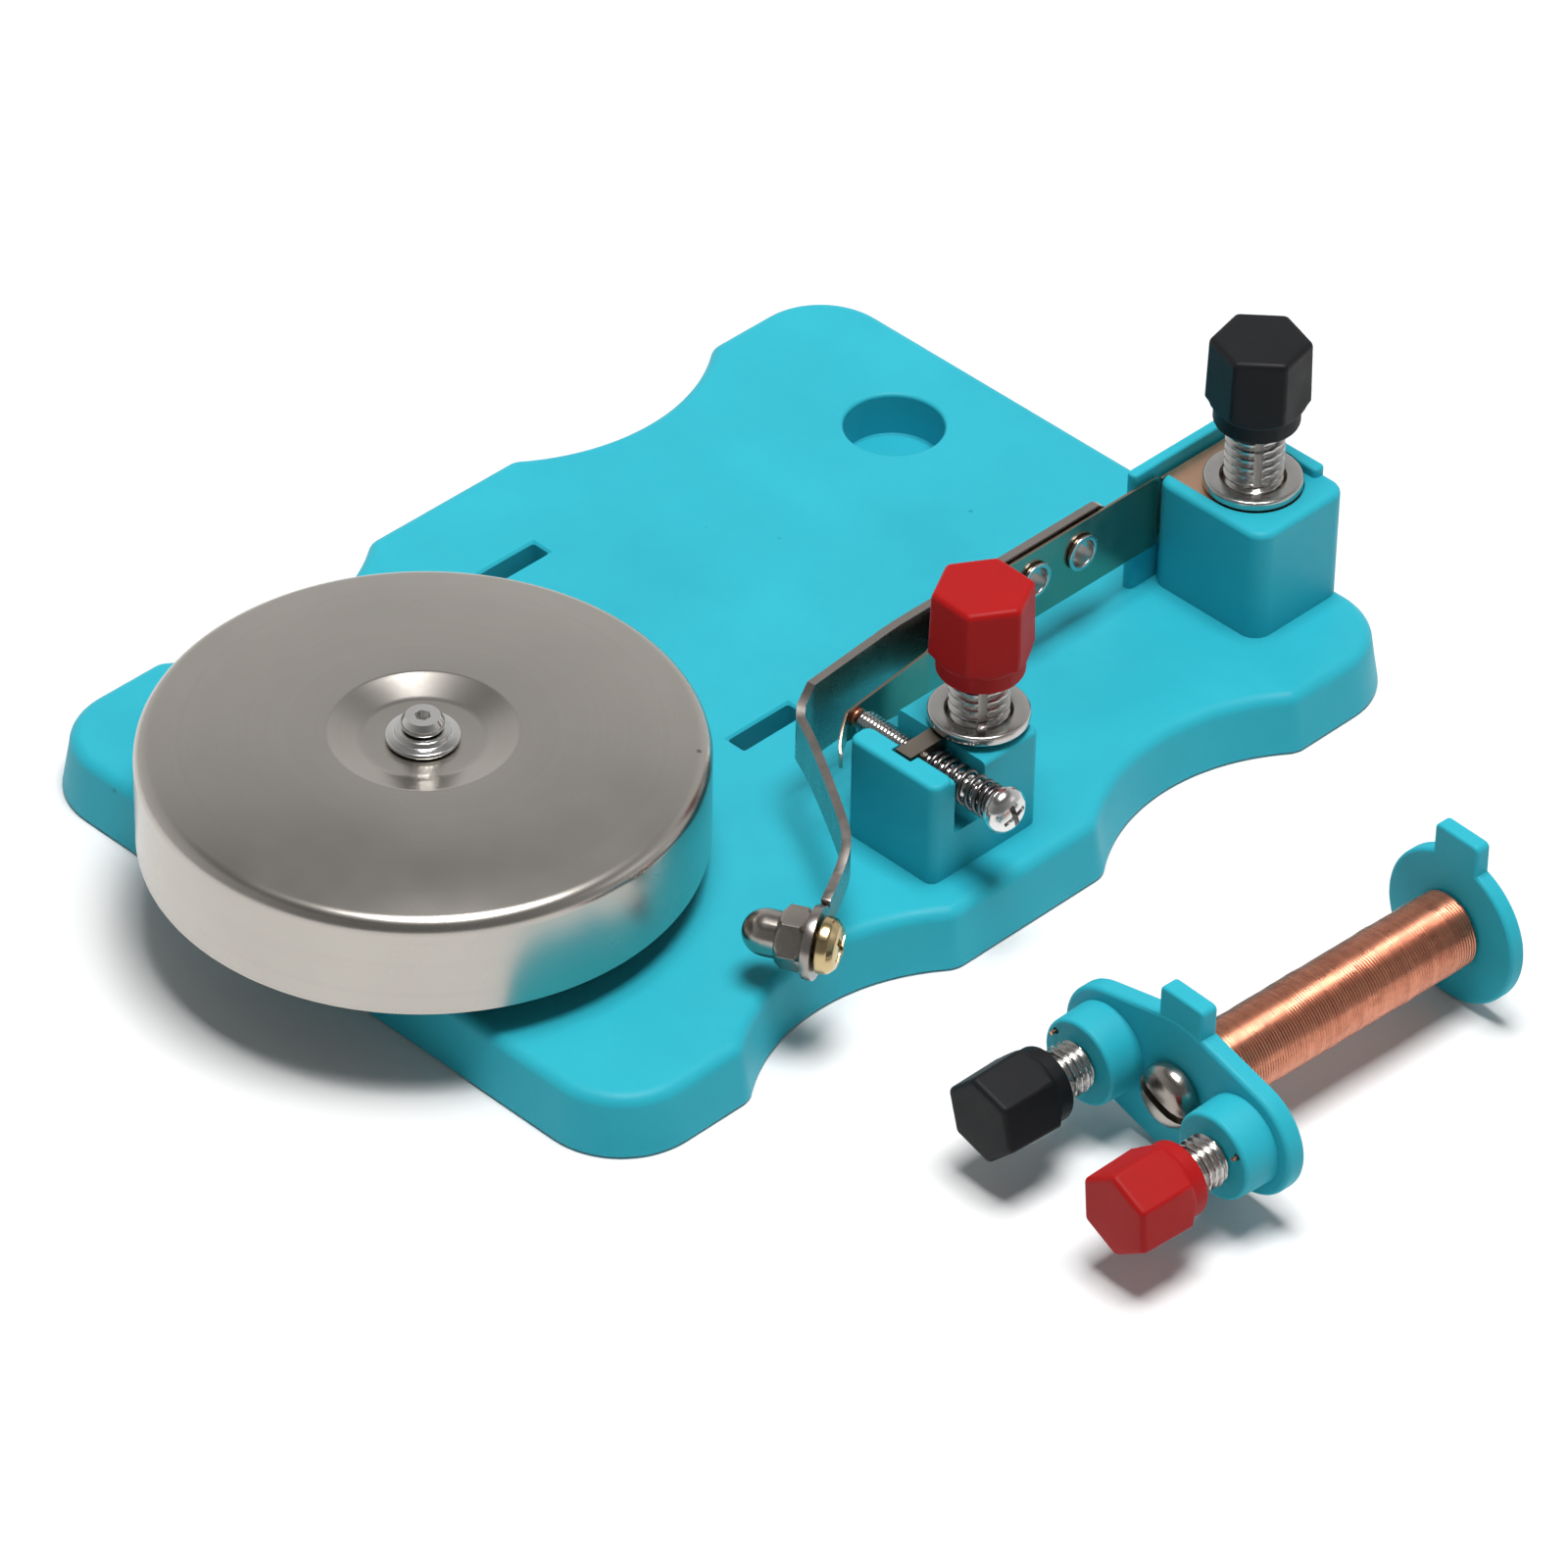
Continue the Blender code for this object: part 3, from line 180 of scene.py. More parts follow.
def gong_finish():
    """Nickel-plated pressing: faint turning rings, cloudy plating, dark specks, and bright specks that are
    painted glints of tiny dents.
    """
    look = Look("gong_finish", 0.25, 1.0)
    apart = look.node("ShaderNodeSeparateXYZ", {"Vector": look.coords})
    x, y, z = apart.outputs
    squares = look.calc("ADD", look.calc("MULTIPLY", x, x), look.calc("MULTIPLY", y, y))
    rings = look.node("ShaderNodeCombineXYZ", {0: look.calc("SQRT", squares, 0.0), 1: z, 2: 0.0})
    turning = look.noise(2600.0, 3.0, 0.6, rings.outputs[0])
    clouds = look.noise(60.0, 3.0)
    cloudy = look.span(clouds, 0.3, 0.72, 0.0, 1.0)
    tone = look.blend(cloudy, (0.52, 0.488, 0.445), (0.48, 0.45, 0.41))
    tone = look.blend(look.span(turning, 0.4, 0.8, 0.0, 0.16), tone, (0.38, 0.35, 0.32))
    dark = look.specks(145.0, 0.05)
    some = look.span(look.noise(90.0, 1.0), 0.5, 0.58, 0.0, 0.75)
    tone = look.blend(look.calc("MULTIPLY", dark, some), tone, (0.14, 0.12, 0.1))
    # Bright specks are painted glints: the colour is lightened where tiny dents would catch the light. The
    # dents themselves are also bumped below.
    bright = look.specks(210.0, 0.045, look.stretched((1.0, 1.0, 2.0)))
    few = look.span(look.noise(60.0, 1.0), 0.52, 0.6, 0.0, 0.9)
    light = look.calc("MULTIPLY", bright, few)
    tone = look.blend(light, tone, (0.8, 0.78, 0.74))
    smears = look.span(look.noise(80.0, 2.0), 0.3, 0.72, 0.235, 0.285)
    height = look.bump(turning, 0.0000015)
    height = look.bump(look.noise(38.0, 2.0), 0.00004, 0.5, height)
    height = look.bump(look.calc("ADD", dark, light), 0.00003, 0.7, height)
    return look.wire(Base_Color=tone, Roughness=smears, Normal=height)


def wire_finish():
    """Enamelled copper wire, whose turns differ a little in shade from one to the next."""
    look = Look("wire_finish", 0.32, 1.0)
    look.shader.inputs["Coat Weight"].default_value = 0.25
    look.shader.inputs["Coat Roughness"].default_value = 0.2
    bands = look.noise(2600.0, 2.0, 0.6, look.stretched((0.04, 0.04, 1.0)))
    patches = look.noise(900.0, 3.0)
    tone = look.blend(look.span(bands, 0.3, 0.7, 0.0, 0.7), (0.7, 0.29, 0.175), (0.48, 0.165, 0.1))
    tone = look.blend(look.span(patches, 0.48, 0.8, 0.0, 0.5), tone, (0.28, 0.09, 0.055))
    rough = look.span(patches, 0.3, 0.7, 0.25, 0.36)
    height = look.bump(look.noise(3000.0, 2.0), 0.000003)
    return look.wire(Base_Color=tone, Roughness=rough, Normal=height)


ALONG_X = (1.0, 6.0, 6.0)  # a grain drawn out along X

LOOKS = {
    "teal_plastic": plastic("teal_finish", (0.026, 0.425, 0.53), (0.02, 0.365, 0.465), 0.46, 0.000005, 0.15),
    "black_plastic": plastic(
        "black_finish", (0.006, 0.006, 0.007), (0.01, 0.011, 0.013), 0.52, 0.000006, 0.0
    ),
    "red_plastic": plastic("red_finish", (0.4, 0.004, 0.004), (0.32, 0.004, 0.004), 0.5, 0.000006, 0.06),
    "gong_steel": gong_finish(),
    "zinc_steel": metal(
        "zinc_finish", (0.56, 0.545, 0.525), (0.44, 0.425, 0.405), 0.24, (1.0, 1.0, 4.0), 0.000002, 0.3
    ),
    "bright_steel": metal(
        "bright_finish", (0.76, 0.755, 0.74), (0.6, 0.585, 0.565), 0.18, (1.0, 1.0, 3.0), 0.000001
    ),
    "dark_nickel": metal(
        "nickel_finish", (0.44, 0.4, 0.36), (0.3, 0.27, 0.24), 0.22, (1.0, 1.0, 2.0), 0.000002, 0.4
    ),
    "brass": metal(
        "brass_finish", (0.64, 0.5, 0.27), (0.47, 0.34, 0.19), 0.22, (1.0, 1.0, 2.0), 0.000002, 0.3
    ),
    "phosphor_bronze": metal(
        "bronze_finish", (0.7, 0.43, 0.29), (0.6, 0.35, 0.225), 0.36, (6.0, 1.0, 1.0), 0.000002, 0.3
    ),
    "enamelled_copper": wire_finish(),
}
LEAF_FINISH = metal("leaf_finish", (0.4, 0.325, 0.25), (0.31, 0.255, 0.205), 0.22, ALONG_X)
# The armature's iron colour is darker than the plate's own. This is painted shade, standing in for the
# shadowed base that the plate reflects.
IRON_PAINTED_SHADE = metal("iron_painted_shade", (0.38, 0.345, 0.32), (0.3, 0.27, 0.25), 0.27, ALONG_X, 0.000003, 0.3)
STRAP_FINISH = metal("strap_finish", (0.3, 0.26, 0.215), (0.2, 0.175, 0.145), 0.3, ALONG_X, 0.000003, 0.4)
SPRING_FINISH = metal("spring_finish", (0.15, 0.145, 0.145), (0.09, 0.085, 0.085), 0.26)


# ---------- mesh helpers


def loft(sections, ring=False):
    """A closed solid through sections of equal point counts, capped at both ends or joined up."""
    bm = bmesh.new()
    rows = [[bm.verts.new(point) for point in section] for section in sections]
    pairs = list(zip(rows, rows[1:]))
    if ring:
        pairs.append((rows[-1], rows[0]))
    else:
        bm.faces.new(rows[0])
        bm.faces.new(rows[-1])
    for low, high in pairs:
        for i in range(len(low)):
            j = (i + 1) % len(low)
            bm.faces.new((low[i], low[j], high[j], high[i]))
    return bm


def even_angles(count):
    return [TAU * i / count for i in range(count)]


def polar(angles, radius, z):
    """A level section. The radius is a number or a function of the angle."""
    points = []
    for a in angles:
        r = radius(a) if callable(radius) else radius
        points.append(Vector((r * cos(a), r * sin(a), z)))
    return points


def turned(profile, count=96, ring=False):
    """A solid turned about Z from (radius, height) points."""
    return loft([polar(even_angles(count), r, z) for r, z in profile], ring)


def rounded(profile, radius, steps=4, ring=False):
    """The profile with its corners rounded, where the sides leave room for it."""
    points = []
    count = len(profile)
    for i, corner in enumerate(profile):
        here = Vector(corner)
        if not ring and i in (0, count - 1):
            points.append(tuple(here))
            continue
        before = Vector(profile[i - 1]) - here
        after = Vector(profile[(i + 1) % count]) - here
        turn = pi - before.angle(after)
        if turn < 0.25:
            points.append(tuple(here))
            continue
        reach = min(radius * tan(turn / 2), 0.45 * before.length, 0.45 * after.length)
        start = here + before.normalized() * reach
        end = here + after.normalized() * reach
        for step in range(steps + 1):
            t = step / steps
            points.append(tuple(start * (1 - t) ** 2 + here * 2 * t * (1 - t) + end * t * t))
    return points


def lathe(profile, radius, count=96, ring=False, steps=4):
    return turned(rounded(profile, radius, steps, ring), count, ring)


def prism(outline, z0, z1):
    return loft([[Vector((x, y, z)) for x, y in outline] for z in (z0, z1)])


def box(x0, x1, y0, y1, z0, z1):
    return prism([(x0, y0), (x1, y0), (x1, y1), (x0, y1)], z0, z1)


def arc(cx, cy, radius, start, end, steps):
    turns = [start + (end - start) * i / steps for i in range(steps + 1)]
    return [(cx + radius * cos(a), cy + radius * sin(a)) for a in turns]


def rounded_outline(x0, x1, y0, y1, radius, steps=8):
    quarter = pi / 2
    points = arc(x0 + radius, y0 + radius, radius, 2 * quarter, 3 * quarter, steps)
    points += arc(x1 - radius, y0 + radius, radius, 3 * quarter, 4 * quarter, steps)
    points += arc(x1 - radius, y1 - radius, radius, 0.0, quarter, steps)
    points += arc(x0 + radius, y1 - radius, radius, quarter, 2 * quarter, steps)
    return points


def aim(direction, place):
    """A matrix that puts local +Z along the direction, at the place."""
    turn = Vector(direction).to_track_quat("Z", "Y").to_matrix().to_4x4()
    return Matrix.Translation(place) @ turn


def upright(point, z=0.0):
    """A matrix that puts the origin above or below the point, without a turn."""
    return Matrix.Translation((point.x, point.y, z))


def hex_radius(flat, soft, turn=0.0, limit=1.0):
    """The radius, as a function of the angle, of a hexagon with rounded corners."""
    reach = (flat - soft) / cos(pi / 6)
    edge = atan((flat - soft) * tan(pi / 6) / flat)

    def radius(angle):
        from_flat = (angle - turn) % (pi / 3) - pi / 6
        if abs(from_flat) <= edge:
            return min(flat / cos(from_flat), limit)
        off = pi / 6 - abs(from_flat)
        across = soft * soft - (reach * sin(off)) ** 2
        return min(reach * cos(off) + sqrt(max(across, 0.0)), limit)

    return radius


def hex_angles(flat, soft, turn=0.0, flats=5, corners=8):
    """Angles that follow each rounded corner closely and each flat coarsely."""
    edge = atan((flat - soft) * tan(pi / 6) / flat)
    angles = []
    for side in range(6):
        middle = turn + pi / 6 + side * pi / 3
        angles += [middle - edge + 2 * edge * i / flats for i in range(flats)]
        open_angle = pi / 3 - 2 * edge
        angles += [middle + edge + open_angle * i / corners for i in range(corners)]
    return angles


def threaded(radius, depth, pitch, z0, z1, count=56, per_turn=10, chamfer=0.0003):
    """Sections up a real right-handed thread."""
    steps = max(2, round((z1 - z0) / pitch * per_turn))
    sections = []
    for i in range(steps + 1):
        z = z0 + (z1 - z0) * i / steps
        room = min(z - z0, z1 - z, chamfer)
        section = []
        for a in even_angles(count):
            phase = (z / pitch - a / TAU) % 1.0
            crest = min(1.0, max(0.0, (abs(phase - 0.5) * 2 - 0.18) / 0.66))
            r = min(radius - depth * (1 - crest), radius - chamfer + room)
            section.append(Vector((r * cos(a), r * sin(a), z)))
        sections.append(section)
    return sections


def sweep(points, radius, count=12):
    """A round wire along the points, with closed ends."""
    points = [Vector(point) for point in points]
    side = None
    sections = []
    for i, here in enumerate(points):
        ahead = points[min(i + 1, len(points) - 1)]
        behind = points[max(i - 1, 0)]
        along = (ahead - behind).normalized()
        start = side if side is not None else along.orthogonal()
        side = (start - along * start.dot(along)).normalized()
        other = along.cross(side)
        turns = even_angles(count)
        sections.append([here + (side * cos(a) + other * sin(a)) * radius for a in turns])
    return loft(sections)


def smooth_path(knots, steps=4):
    """Points on a smooth curve through the knots, which have any number of coordinates."""
    points = []
    padded = [knots[0], *knots, knots[-1]]
    for a, b, c, d in zip(padded, padded[1:], padded[2:], padded[3:]):
        for step in range(steps):
            t = step / steps
            point = []
            for p, q, r, s in zip(a, b, c, d):
                slope = (r - p) * t + (2 * p - 5 * q + 4 * r - s) * t * t
                point.append(q + 0.5 * (slope + (3 * q - p - 3 * r + s) * t ** 3))
            points.append(tuple(point))
    points.append(tuple(knots[-1]))
    return points


def strip(path, thickness):
    """A band on edge along a plan path of (x, y, lowest z, highest z)."""
    sections = []
    for i, (x, y, low, high) in enumerate(path):
        ahead = Vector(path[min(i + 1, len(path) - 1)][:2])
        behind = Vector(path[max(i - 1, 0)][:2])
        along = (ahead - behind).normalized()
        side = Vector((-along.y, along.x)) * thickness / 2
        near = Vector((x - side.x, y - side.y, 0.0))
        far = Vector((x + side.x, y + side.y, 0.0))
        sections.append([near + low * UP, far + low * UP, far + high * UP, near + high * UP])
    return loft(sections)


def raw(bm, matrix, name="tool"):
    bmesh.ops.remove_doubles(bm, verts=bm.verts, dist=1e-8)
    bmesh.ops.recalc_face_normals(bm, faces=bm.faces)
    mesh = bpy.data.meshes.new(name)
    bm.to_mesh(mesh)
    bm.free()
    obj = bpy.data.objects.new(name, mesh)
    obj.matrix_world = matrix
    bpy.context.scene.collection.objects.link(obj)
    return obj


def add_bevel(obj, width, segments=3, degrees=35):
    bevel = obj.modifiers.new("edges", "BEVEL")
    bevel.width = width
    bevel.segments = segments
    bevel.limit_method = "ANGLE"
    bevel.angle_limit = radians(degrees)
    bevel.harden_normals = False


def settle(obj):
    """Turns the object's modifiers into its mesh."""
    bpy.context.view_layer.update()
    graph = bpy.context.evaluated_depsgraph_get()
    mesh = bpy.data.meshes.new_from_object(obj.evaluated_get(graph))
    obj.modifiers.clear()
    obj.data = mesh


def shaped(obj, changes):
    """Applies (operation, bmesh, matrix, bevel width) steps to the object, in turn."""
    tools = []
    for operation, bm, matrix, width in changes:
        tool = raw(bm, matrix)
        if width:
            add_bevel(tool, width, 4, 50)
        tools.append(tool)
        step = obj.modifiers.new("shape", "BOOLEAN")
        step.operation = operation
        step.solver = "EXACT"
        step.object = tool
    settle(obj)
    for tool in tools:
        bpy.data.objects.remove(tool, do_unlink=True)


def show(name, bm, body, slot, nodes, matrix=IDENTITY, changes=(), bevel=0.0, look=None, sharp=38):
    """A finished piece: built, cut, softened, coloured, and riding on its body."""
    obj = raw(bm, matrix, name)
    if changes:
        shaped(obj, changes)
    if bevel:
        add_bevel(obj, bevel)
        settle(obj)
    obj.data.materials.clear()
    obj.data.materials.append(look or LOOKS[slot])
    obj.data.shade_smooth()
    obj.data.set_sharp_from_angle(angle=radians(sharp))
    weighted = obj.modifiers.new("normals", "WEIGHTED_NORMAL")
    weighted.keep_sharp = True
    weighted.weight = 80
    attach(obj, body)
    if nodes:
        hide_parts(*nodes)
    return obj


def join(bm, matrix=IDENTITY, bevel=0.0):
    return ("UNION", bm, matrix, bevel)


def cut(bm, matrix=IDENTITY):
    return ("DIFFERENCE", bm, matrix, 0)


def drill(radius, low, high, matrix, count=48):
    return cut(turned([(radius, low), (radius, high)], count), matrix)


def middle(node):
    low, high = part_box(node)
    return (low + high) / 2


def cross_recess(half, width, depth, top):
    """Two tapered bars for a cross recess, sunk from the given height along -Z."""
    bars = []
    for turn in (0.0, pi / 2):
        sections = []
        tip = (half * 0.35, width * 0.6, top - depth)
        for reach, thick, z in (tip, (half, width, top), (half, width, top + 2 * OVERSHOOT)):
            corners = [(-reach, -thick), (reach, -thick), (reach, thick), (-reach, thick)]
            sections.append([Vector((x, y, z)) for x, y in corners])
        bm = loft(sections)
        bmesh.ops.transform(bm, matrix=Matrix.Rotation(turn, 4, "Z"), verts=bm.verts)
        bars.append(bm)
    return bars


def hex_rows(flat, soft, height, chamfer, start=0.0):
    """Rows up a hexagon whose corners are chamfered at both ends."""
    corner = flat / cos(pi / 6)
    ends = flat * 0.97
    levels = [(ends, 0.0), (corner, chamfer), (corner, height - chamfer), (ends, height)]
    return [(hex_radius(flat, soft, 0.0, limit), start + z) for limit, z in levels]


def hex_nut(across_flats, height, hole):
    """A nut with chamfered corners and a countersunk hole."""
    flat, soft = across_flats / 2, 0.00008
    mouth = hole + 0.0002
    rows = [(hole, height - 0.0003), (hole, 0.0003), (mouth, 0.0)]
    rows += [*hex_rows(flat, soft, height, 0.0004), (mouth, height)]
    angles = hex_angles(flat, soft, 0.0, 6, 3)
    return loft([polar(angles, r, z) for r, z in rows], ring=True)


def hex_pocket(across_flats, low, high):
    corners = [pi * i / 3 for i in range(6)]
    return loft([polar(corners, across_flats / sqrt(3), z) for z in (low, high)])


# ---------- base

BASE_EDGE_ROUND = 0.0014
BASE_DRAFT = 0.0008
BASE_CORNER = 0.0088
SCOOP_CENTRE = 0.024
SCOOP_RADIUS = 0.022
SCOOP_DEPTH = 0.0049
SCOOP_BLEND = 0.003
GONG_WALL = 0.0007
LEAF_Y = JOINTS["armature_swing"]["pos_m"][1]
HINGE_X = JOINTS["armature_swing"]["pos_m"][0]
EYELET_Z = JOINTS["armature_swing"]["pos_m"][2]
LEAF_THICK = 0.0003
PLATE_THICK = 0.0009
GROOVE = (-0.0059, -0.00185)
REAR_END, REAR_TOP = 0.0542, 0.0192
FRONT_LEFT, FRONT_NEAR, FRONT_FAR, FRONT_TOP = -0.0087, -0.0366, -0.025, 0.0178
TAB_SPACING = 0.036
SLOT_X, SLOT_Y = -0.0026, 0.0099
SLOT_HALF_X, SLOT_HALF_Y, SLOT_FLARE = 0.00415, 0.00115, 0.00025
SHANK_HOLE = 0.00215
GONG_DISH = 0.001
BASE_TOP = 0.0065
BASE_SIZE = (0.11, 0.0832)


def scooped_side(edge):
    """The base's front edge, with two shallow scoops blended into it."""
    outside = SCOOP_RADIUS - SCOOP_DEPTH
    reach = sqrt((SCOOP_RADIUS + SCOOP_BLEND) ** 2 - (outside + SCOOP_BLEND) ** 2)
    lean = atan2(outside + SCOOP_BLEND, reach)
    points = []
    for centre in (-SCOOP_CENTRE, SCOOP_CENTRE):
        y = edge + SCOOP_BLEND
        points += arc(centre - reach, y, SCOOP_BLEND, -pi / 2, -lean, 8)
        points += arc(centre, edge - outside, SCOOP_RADIUS, pi - lean, lean, 32)[1:-1]
        points += arc(centre + reach, y, SCOOP_BLEND, pi + lean, 1.5 * pi, 8)
    return points


def base_outline():
    side = scooped_side(-BASE_SIZE[1] / 2)
    x = BASE_SIZE[0] / 2 - BASE_CORNER
    y = BASE_SIZE[1] / 2 - BASE_CORNER
    quarter = pi / 2
    points = arc(-x, -y, BASE_CORNER, 2 * quarter, 3 * quarter, 16)
    points += side
    points += arc(x, -y, BASE_CORNER, -quarter, 0.0, 16)
    points += arc(x, y, BASE_CORNER, 0.0, quarter, 16)
    points += [(-px, -py) for px, py in side]
    points += arc(-x, y, BASE_CORNER, quarter, 2 * quarter, 16)
    return points


def inset(points, distance):
    moved = []
    for i, (x, y) in enumerate(points):
        along = (Vector(points[(i + 1) % len(points)]) - Vector(points[i - 1])).normalized()
        moved.append((x - along.y * distance, y + along.x * distance))
    return moved


def base_levels():
    """(inset, height) up the side: a small foot radius, the draft, and the rounded top edge."""
    levels = [(0.0003, 0.0), (0.0001, 0.0001), (0.0, 0.0003)]
    shoulder = BASE_TOP - BASE_EDGE_ROUND
    levels.append((BASE_DRAFT, shoulder))
    for step in range(1, 9):
        a = step * pi / 16
        inwards = BASE_DRAFT + BASE_EDGE_ROUND * (1 - cos(a))
        levels.append((inwards, shoulder + BASE_EDGE_ROUND * sin(a)))
    return levels


def block_steps():
    """The rear block with its end and back walls, and the front block with its raised side."""
    inside = BASE_TOP - OVERSHOOT
    wall = LEAF_Y + 0.0005
    steps = []
    for outline, top, width in (
        (rounded_outline(0.0415, REAR_END, -0.0322, wall, 0.002), REAR_TOP, 0.0007),
        (rounded_outline(0.0527, REAR_END, -0.029, -0.0165, 0.0005, 4), 0.0202, 0.0003),
        (rounded_outline(0.0388, REAR_END, wall, -0.0164, 0.0005, 4), 0.0205, 0.0003),
        (rounded_outline(FRONT_LEFT, 0.0058, FRONT_NEAR, FRONT_FAR, 0.001), FRONT_TOP, 0.0005),
        (rounded_outline(FRONT_LEFT, GROOVE[0], FRONT_NEAR, FRONT_FAR, 0.001), 0.0182, 0.0005),
    ):
        steps.append(join(prism(outline, inside, top), bevel=width))
    return steps


def tab_outline(margin, post):
    """The leaf's clamped end: straight at the leaf, and round the post."""
    half = 0.0049 + margin
    end = LEAF_Y + LEAF_THICK / 2
    points = [(post.x + half, end), (post.x - half, end)]
    return points + arc(post.x, post.y, half, pi, TAU, 40)


def slot_cuts(y):
    """A slot for one of the magnet's tabs, and the flare round its mouth."""
    sides = (SLOT_X - SLOT_HALF_X, SLOT_X + SLOT_HALF_X, y - SLOT_HALF_Y, y + SLOT_HALF_Y)
    outline = rounded_outline(*sides, 0.0003, 4)
    mouth = []
    for spread, rise in ((0.0, -SLOT_FLARE), (SLOT_FLARE, 0.0), (SLOT_FLARE, 0.0005)):
        wide, deep = SLOT_HALF_X + spread, SLOT_HALF_Y + spread
        corners = ((-wide, -deep), (wide, -deep), (wide, deep), (-wide, deep))
        mouth.append([Vector((SLOT_X + dx, y + dy, BASE_TOP + rise)) for dx, dy in corners])
    return [cut(prism(outline, -OVERSHOOT, BASE_TOP + OVERSHOOT)), cut(loft(mouth))]


def socket_cut():
    """The round hole: a small radius at its floor, a plain wall and a rounded mouth."""
    radius, mouth = 0.0052, 0.0004
    profile = [(radius - 0.0002, 0.0014), (radius, 0.0016), (radius, BASE_TOP - mouth)]
    for a in (0.4, 0.8, 1.2, 1.57):
        out = radius + mouth * (1 - cos(a))
        profile.append((out, BASE_TOP - mouth + mouth * sin(a)))
    profile.append((radius + mouth, BASE_TOP + OVERSHOOT))
    return cut(turned(profile), Matrix.Translation((0.0417, 0.018, 0.0)))


def base_cuts(rear, front, gong):
    """Room for the leaf, its tab, the contact screw, the magnet's tabs and the fixings."""
    top = 0.0215
    leaf_front, leaf_back = LEAF_Y - LEAF_THICK / 2 - 0.0002, LEAF_Y + 0.0005
    steps = [
        cut(box(0.038, 0.053, leaf_front, leaf_back, 0.0104, top)),
        cut(prism(tab_outline(0.0002, rear), 0.0183, top)),
        cut(box(*GROOVE, -0.04, -0.022, 0.0114, top)),
        cut(box(-0.0072, GROOVE[0] + OVERSHOOT, -0.0319, -0.0293, 0.0148, top)),
        *slot_cuts(SLOT_Y - TAB_SPACING / 2),
        *slot_cuts(SLOT_Y + TAB_SPACING / 2),
        socket_cut(),
    ]
    for post, height in ((rear, REAR_TOP), (front, FRONT_TOP)):
        steps.append(drill(SHANK_HOLE, 0.002, height + OVERSHOOT, upright(post)))
        steps.append(cut(hex_pocket(0.0076, -OVERSHOOT, 0.0039), upright(post)))
    steps.append(drill(0.00165, 0.009, 0.03, upright(gong)))
    return steps


def build_base():
    rear, front, gong = middle("rear_post_stud"), middle("front_post_stud"), middle("gong")
    outline = base_outline()
    sections = [[Vector((x, y, z)) for x, y in inset(outline, d)] for d, z in base_levels()]
    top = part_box("gong")[1].z - GONG_DISH - GONG_WALL - 0.0002
    pillar = [(0.0062, BASE_TOP - OVERSHOOT), (0.0055, BASE_TOP + 0.0006), (0.0048, 0.0088), (0.0045, top)]
    steps = block_steps()
    steps.append(join(lathe(pillar, 0.0008), upright(gong)))
    steps += base_cuts(rear, front, gong)
    show("base_moulding", loft(sections), "base", "teal_plastic", ["base_plate"], IDENTITY, steps)


def gong_profile(radius, low, top):
    """Outside from the rim over the shoulder and crown into the dish, then back along the inside."""
    seat = top - GONG_DISH
    rim_top = top - 0.0012
    shoulder, inner_shoulder, hole = 0.0017, 0.0011, 0.0018
    outer = [(radius - 0.0002, low), (radius, low + 0.0002), (radius, rim_top - shoulder)]
    for step in range(1, 13):
        a = step * radians(80) / 12
        outer.append((radius - shoulder * (1 - cos(a)), rim_top - shoulder * (1 - sin(a))))
    crown = [outer[-1], (0.0192, top), (0.0091, top), (0.0088, top - 0.0001)]
    crown += [(0.0064, seat + 0.0001), (0.0057, seat), (hole, seat)]
    outer += rounded(crown, 0.0024, 8)[1:]
    under = [(r, z - GONG_WALL) for r, z in outer if 0.005 < r < radius - shoulder]
    inner = [(hole, seat - GONG_WALL), *reversed(under)]
    reach = radius - GONG_WALL
    for step in range(6):
        a = radians(80) * (1 - step / 5)
        inner.append((reach - inner_shoulder * (1 - cos(a)), rim_top - 0.0017 + 0.001 * sin(a)))
    inner += [(reach, low + 0.0002), (reach + 0.0002, low)]
    return outer + inner


def build_gong():
    low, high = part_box("gong")
    place = upright(middle("gong"))
    cup = turned(gong_profile((high.x - low.x) / 2, low.z, high.z), 192, ring=True)
    show("gong_cup", cup, "base", "gong_steel", ["gong"], place, sharp=60)

    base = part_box("gong_washer")[0].z
    hole, flange, hub = 0.0017, 0.0036, 0.0027
    profile = [(hole, base), (flange, base), (flange, base + 0.0005), (hub, base + 0.0006)]
    profile += [(hub, base + 0.0012), (hole, base + 0.0012)]
    washer = lathe(profile, 0.0002, 96, True)
    show("gong_washer_detail", washer, "base", "bright_steel", ["gong_washer"], place)

    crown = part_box("gong_screw")[1].z
    head = crown - 0.0012
    shank, head_radius = 0.0015, 0.0021
    profile = [(shank - 0.0001, 0.0105), (shank, 0.0108), (shank, head), (head_radius, head)]
    profile += [(head_radius, head + 0.0006), (0.0017, crown)]
    key, soft = 0.0007, 0.00015
    angles, reach = hex_angles(key, soft), hex_radius(key, soft)
    recess = loft([polar(angles, reach, z) for z in (head + 0.0003, crown + OVERSHOOT)])
    screw = lathe(profile, 0.0005, 64, steps=6)
    steps = [cut(recess, place)]
    show("gong_screw_detail", screw, "base", "bright_steel", ["gong_screw"], place, steps)


# ---------- binding posts


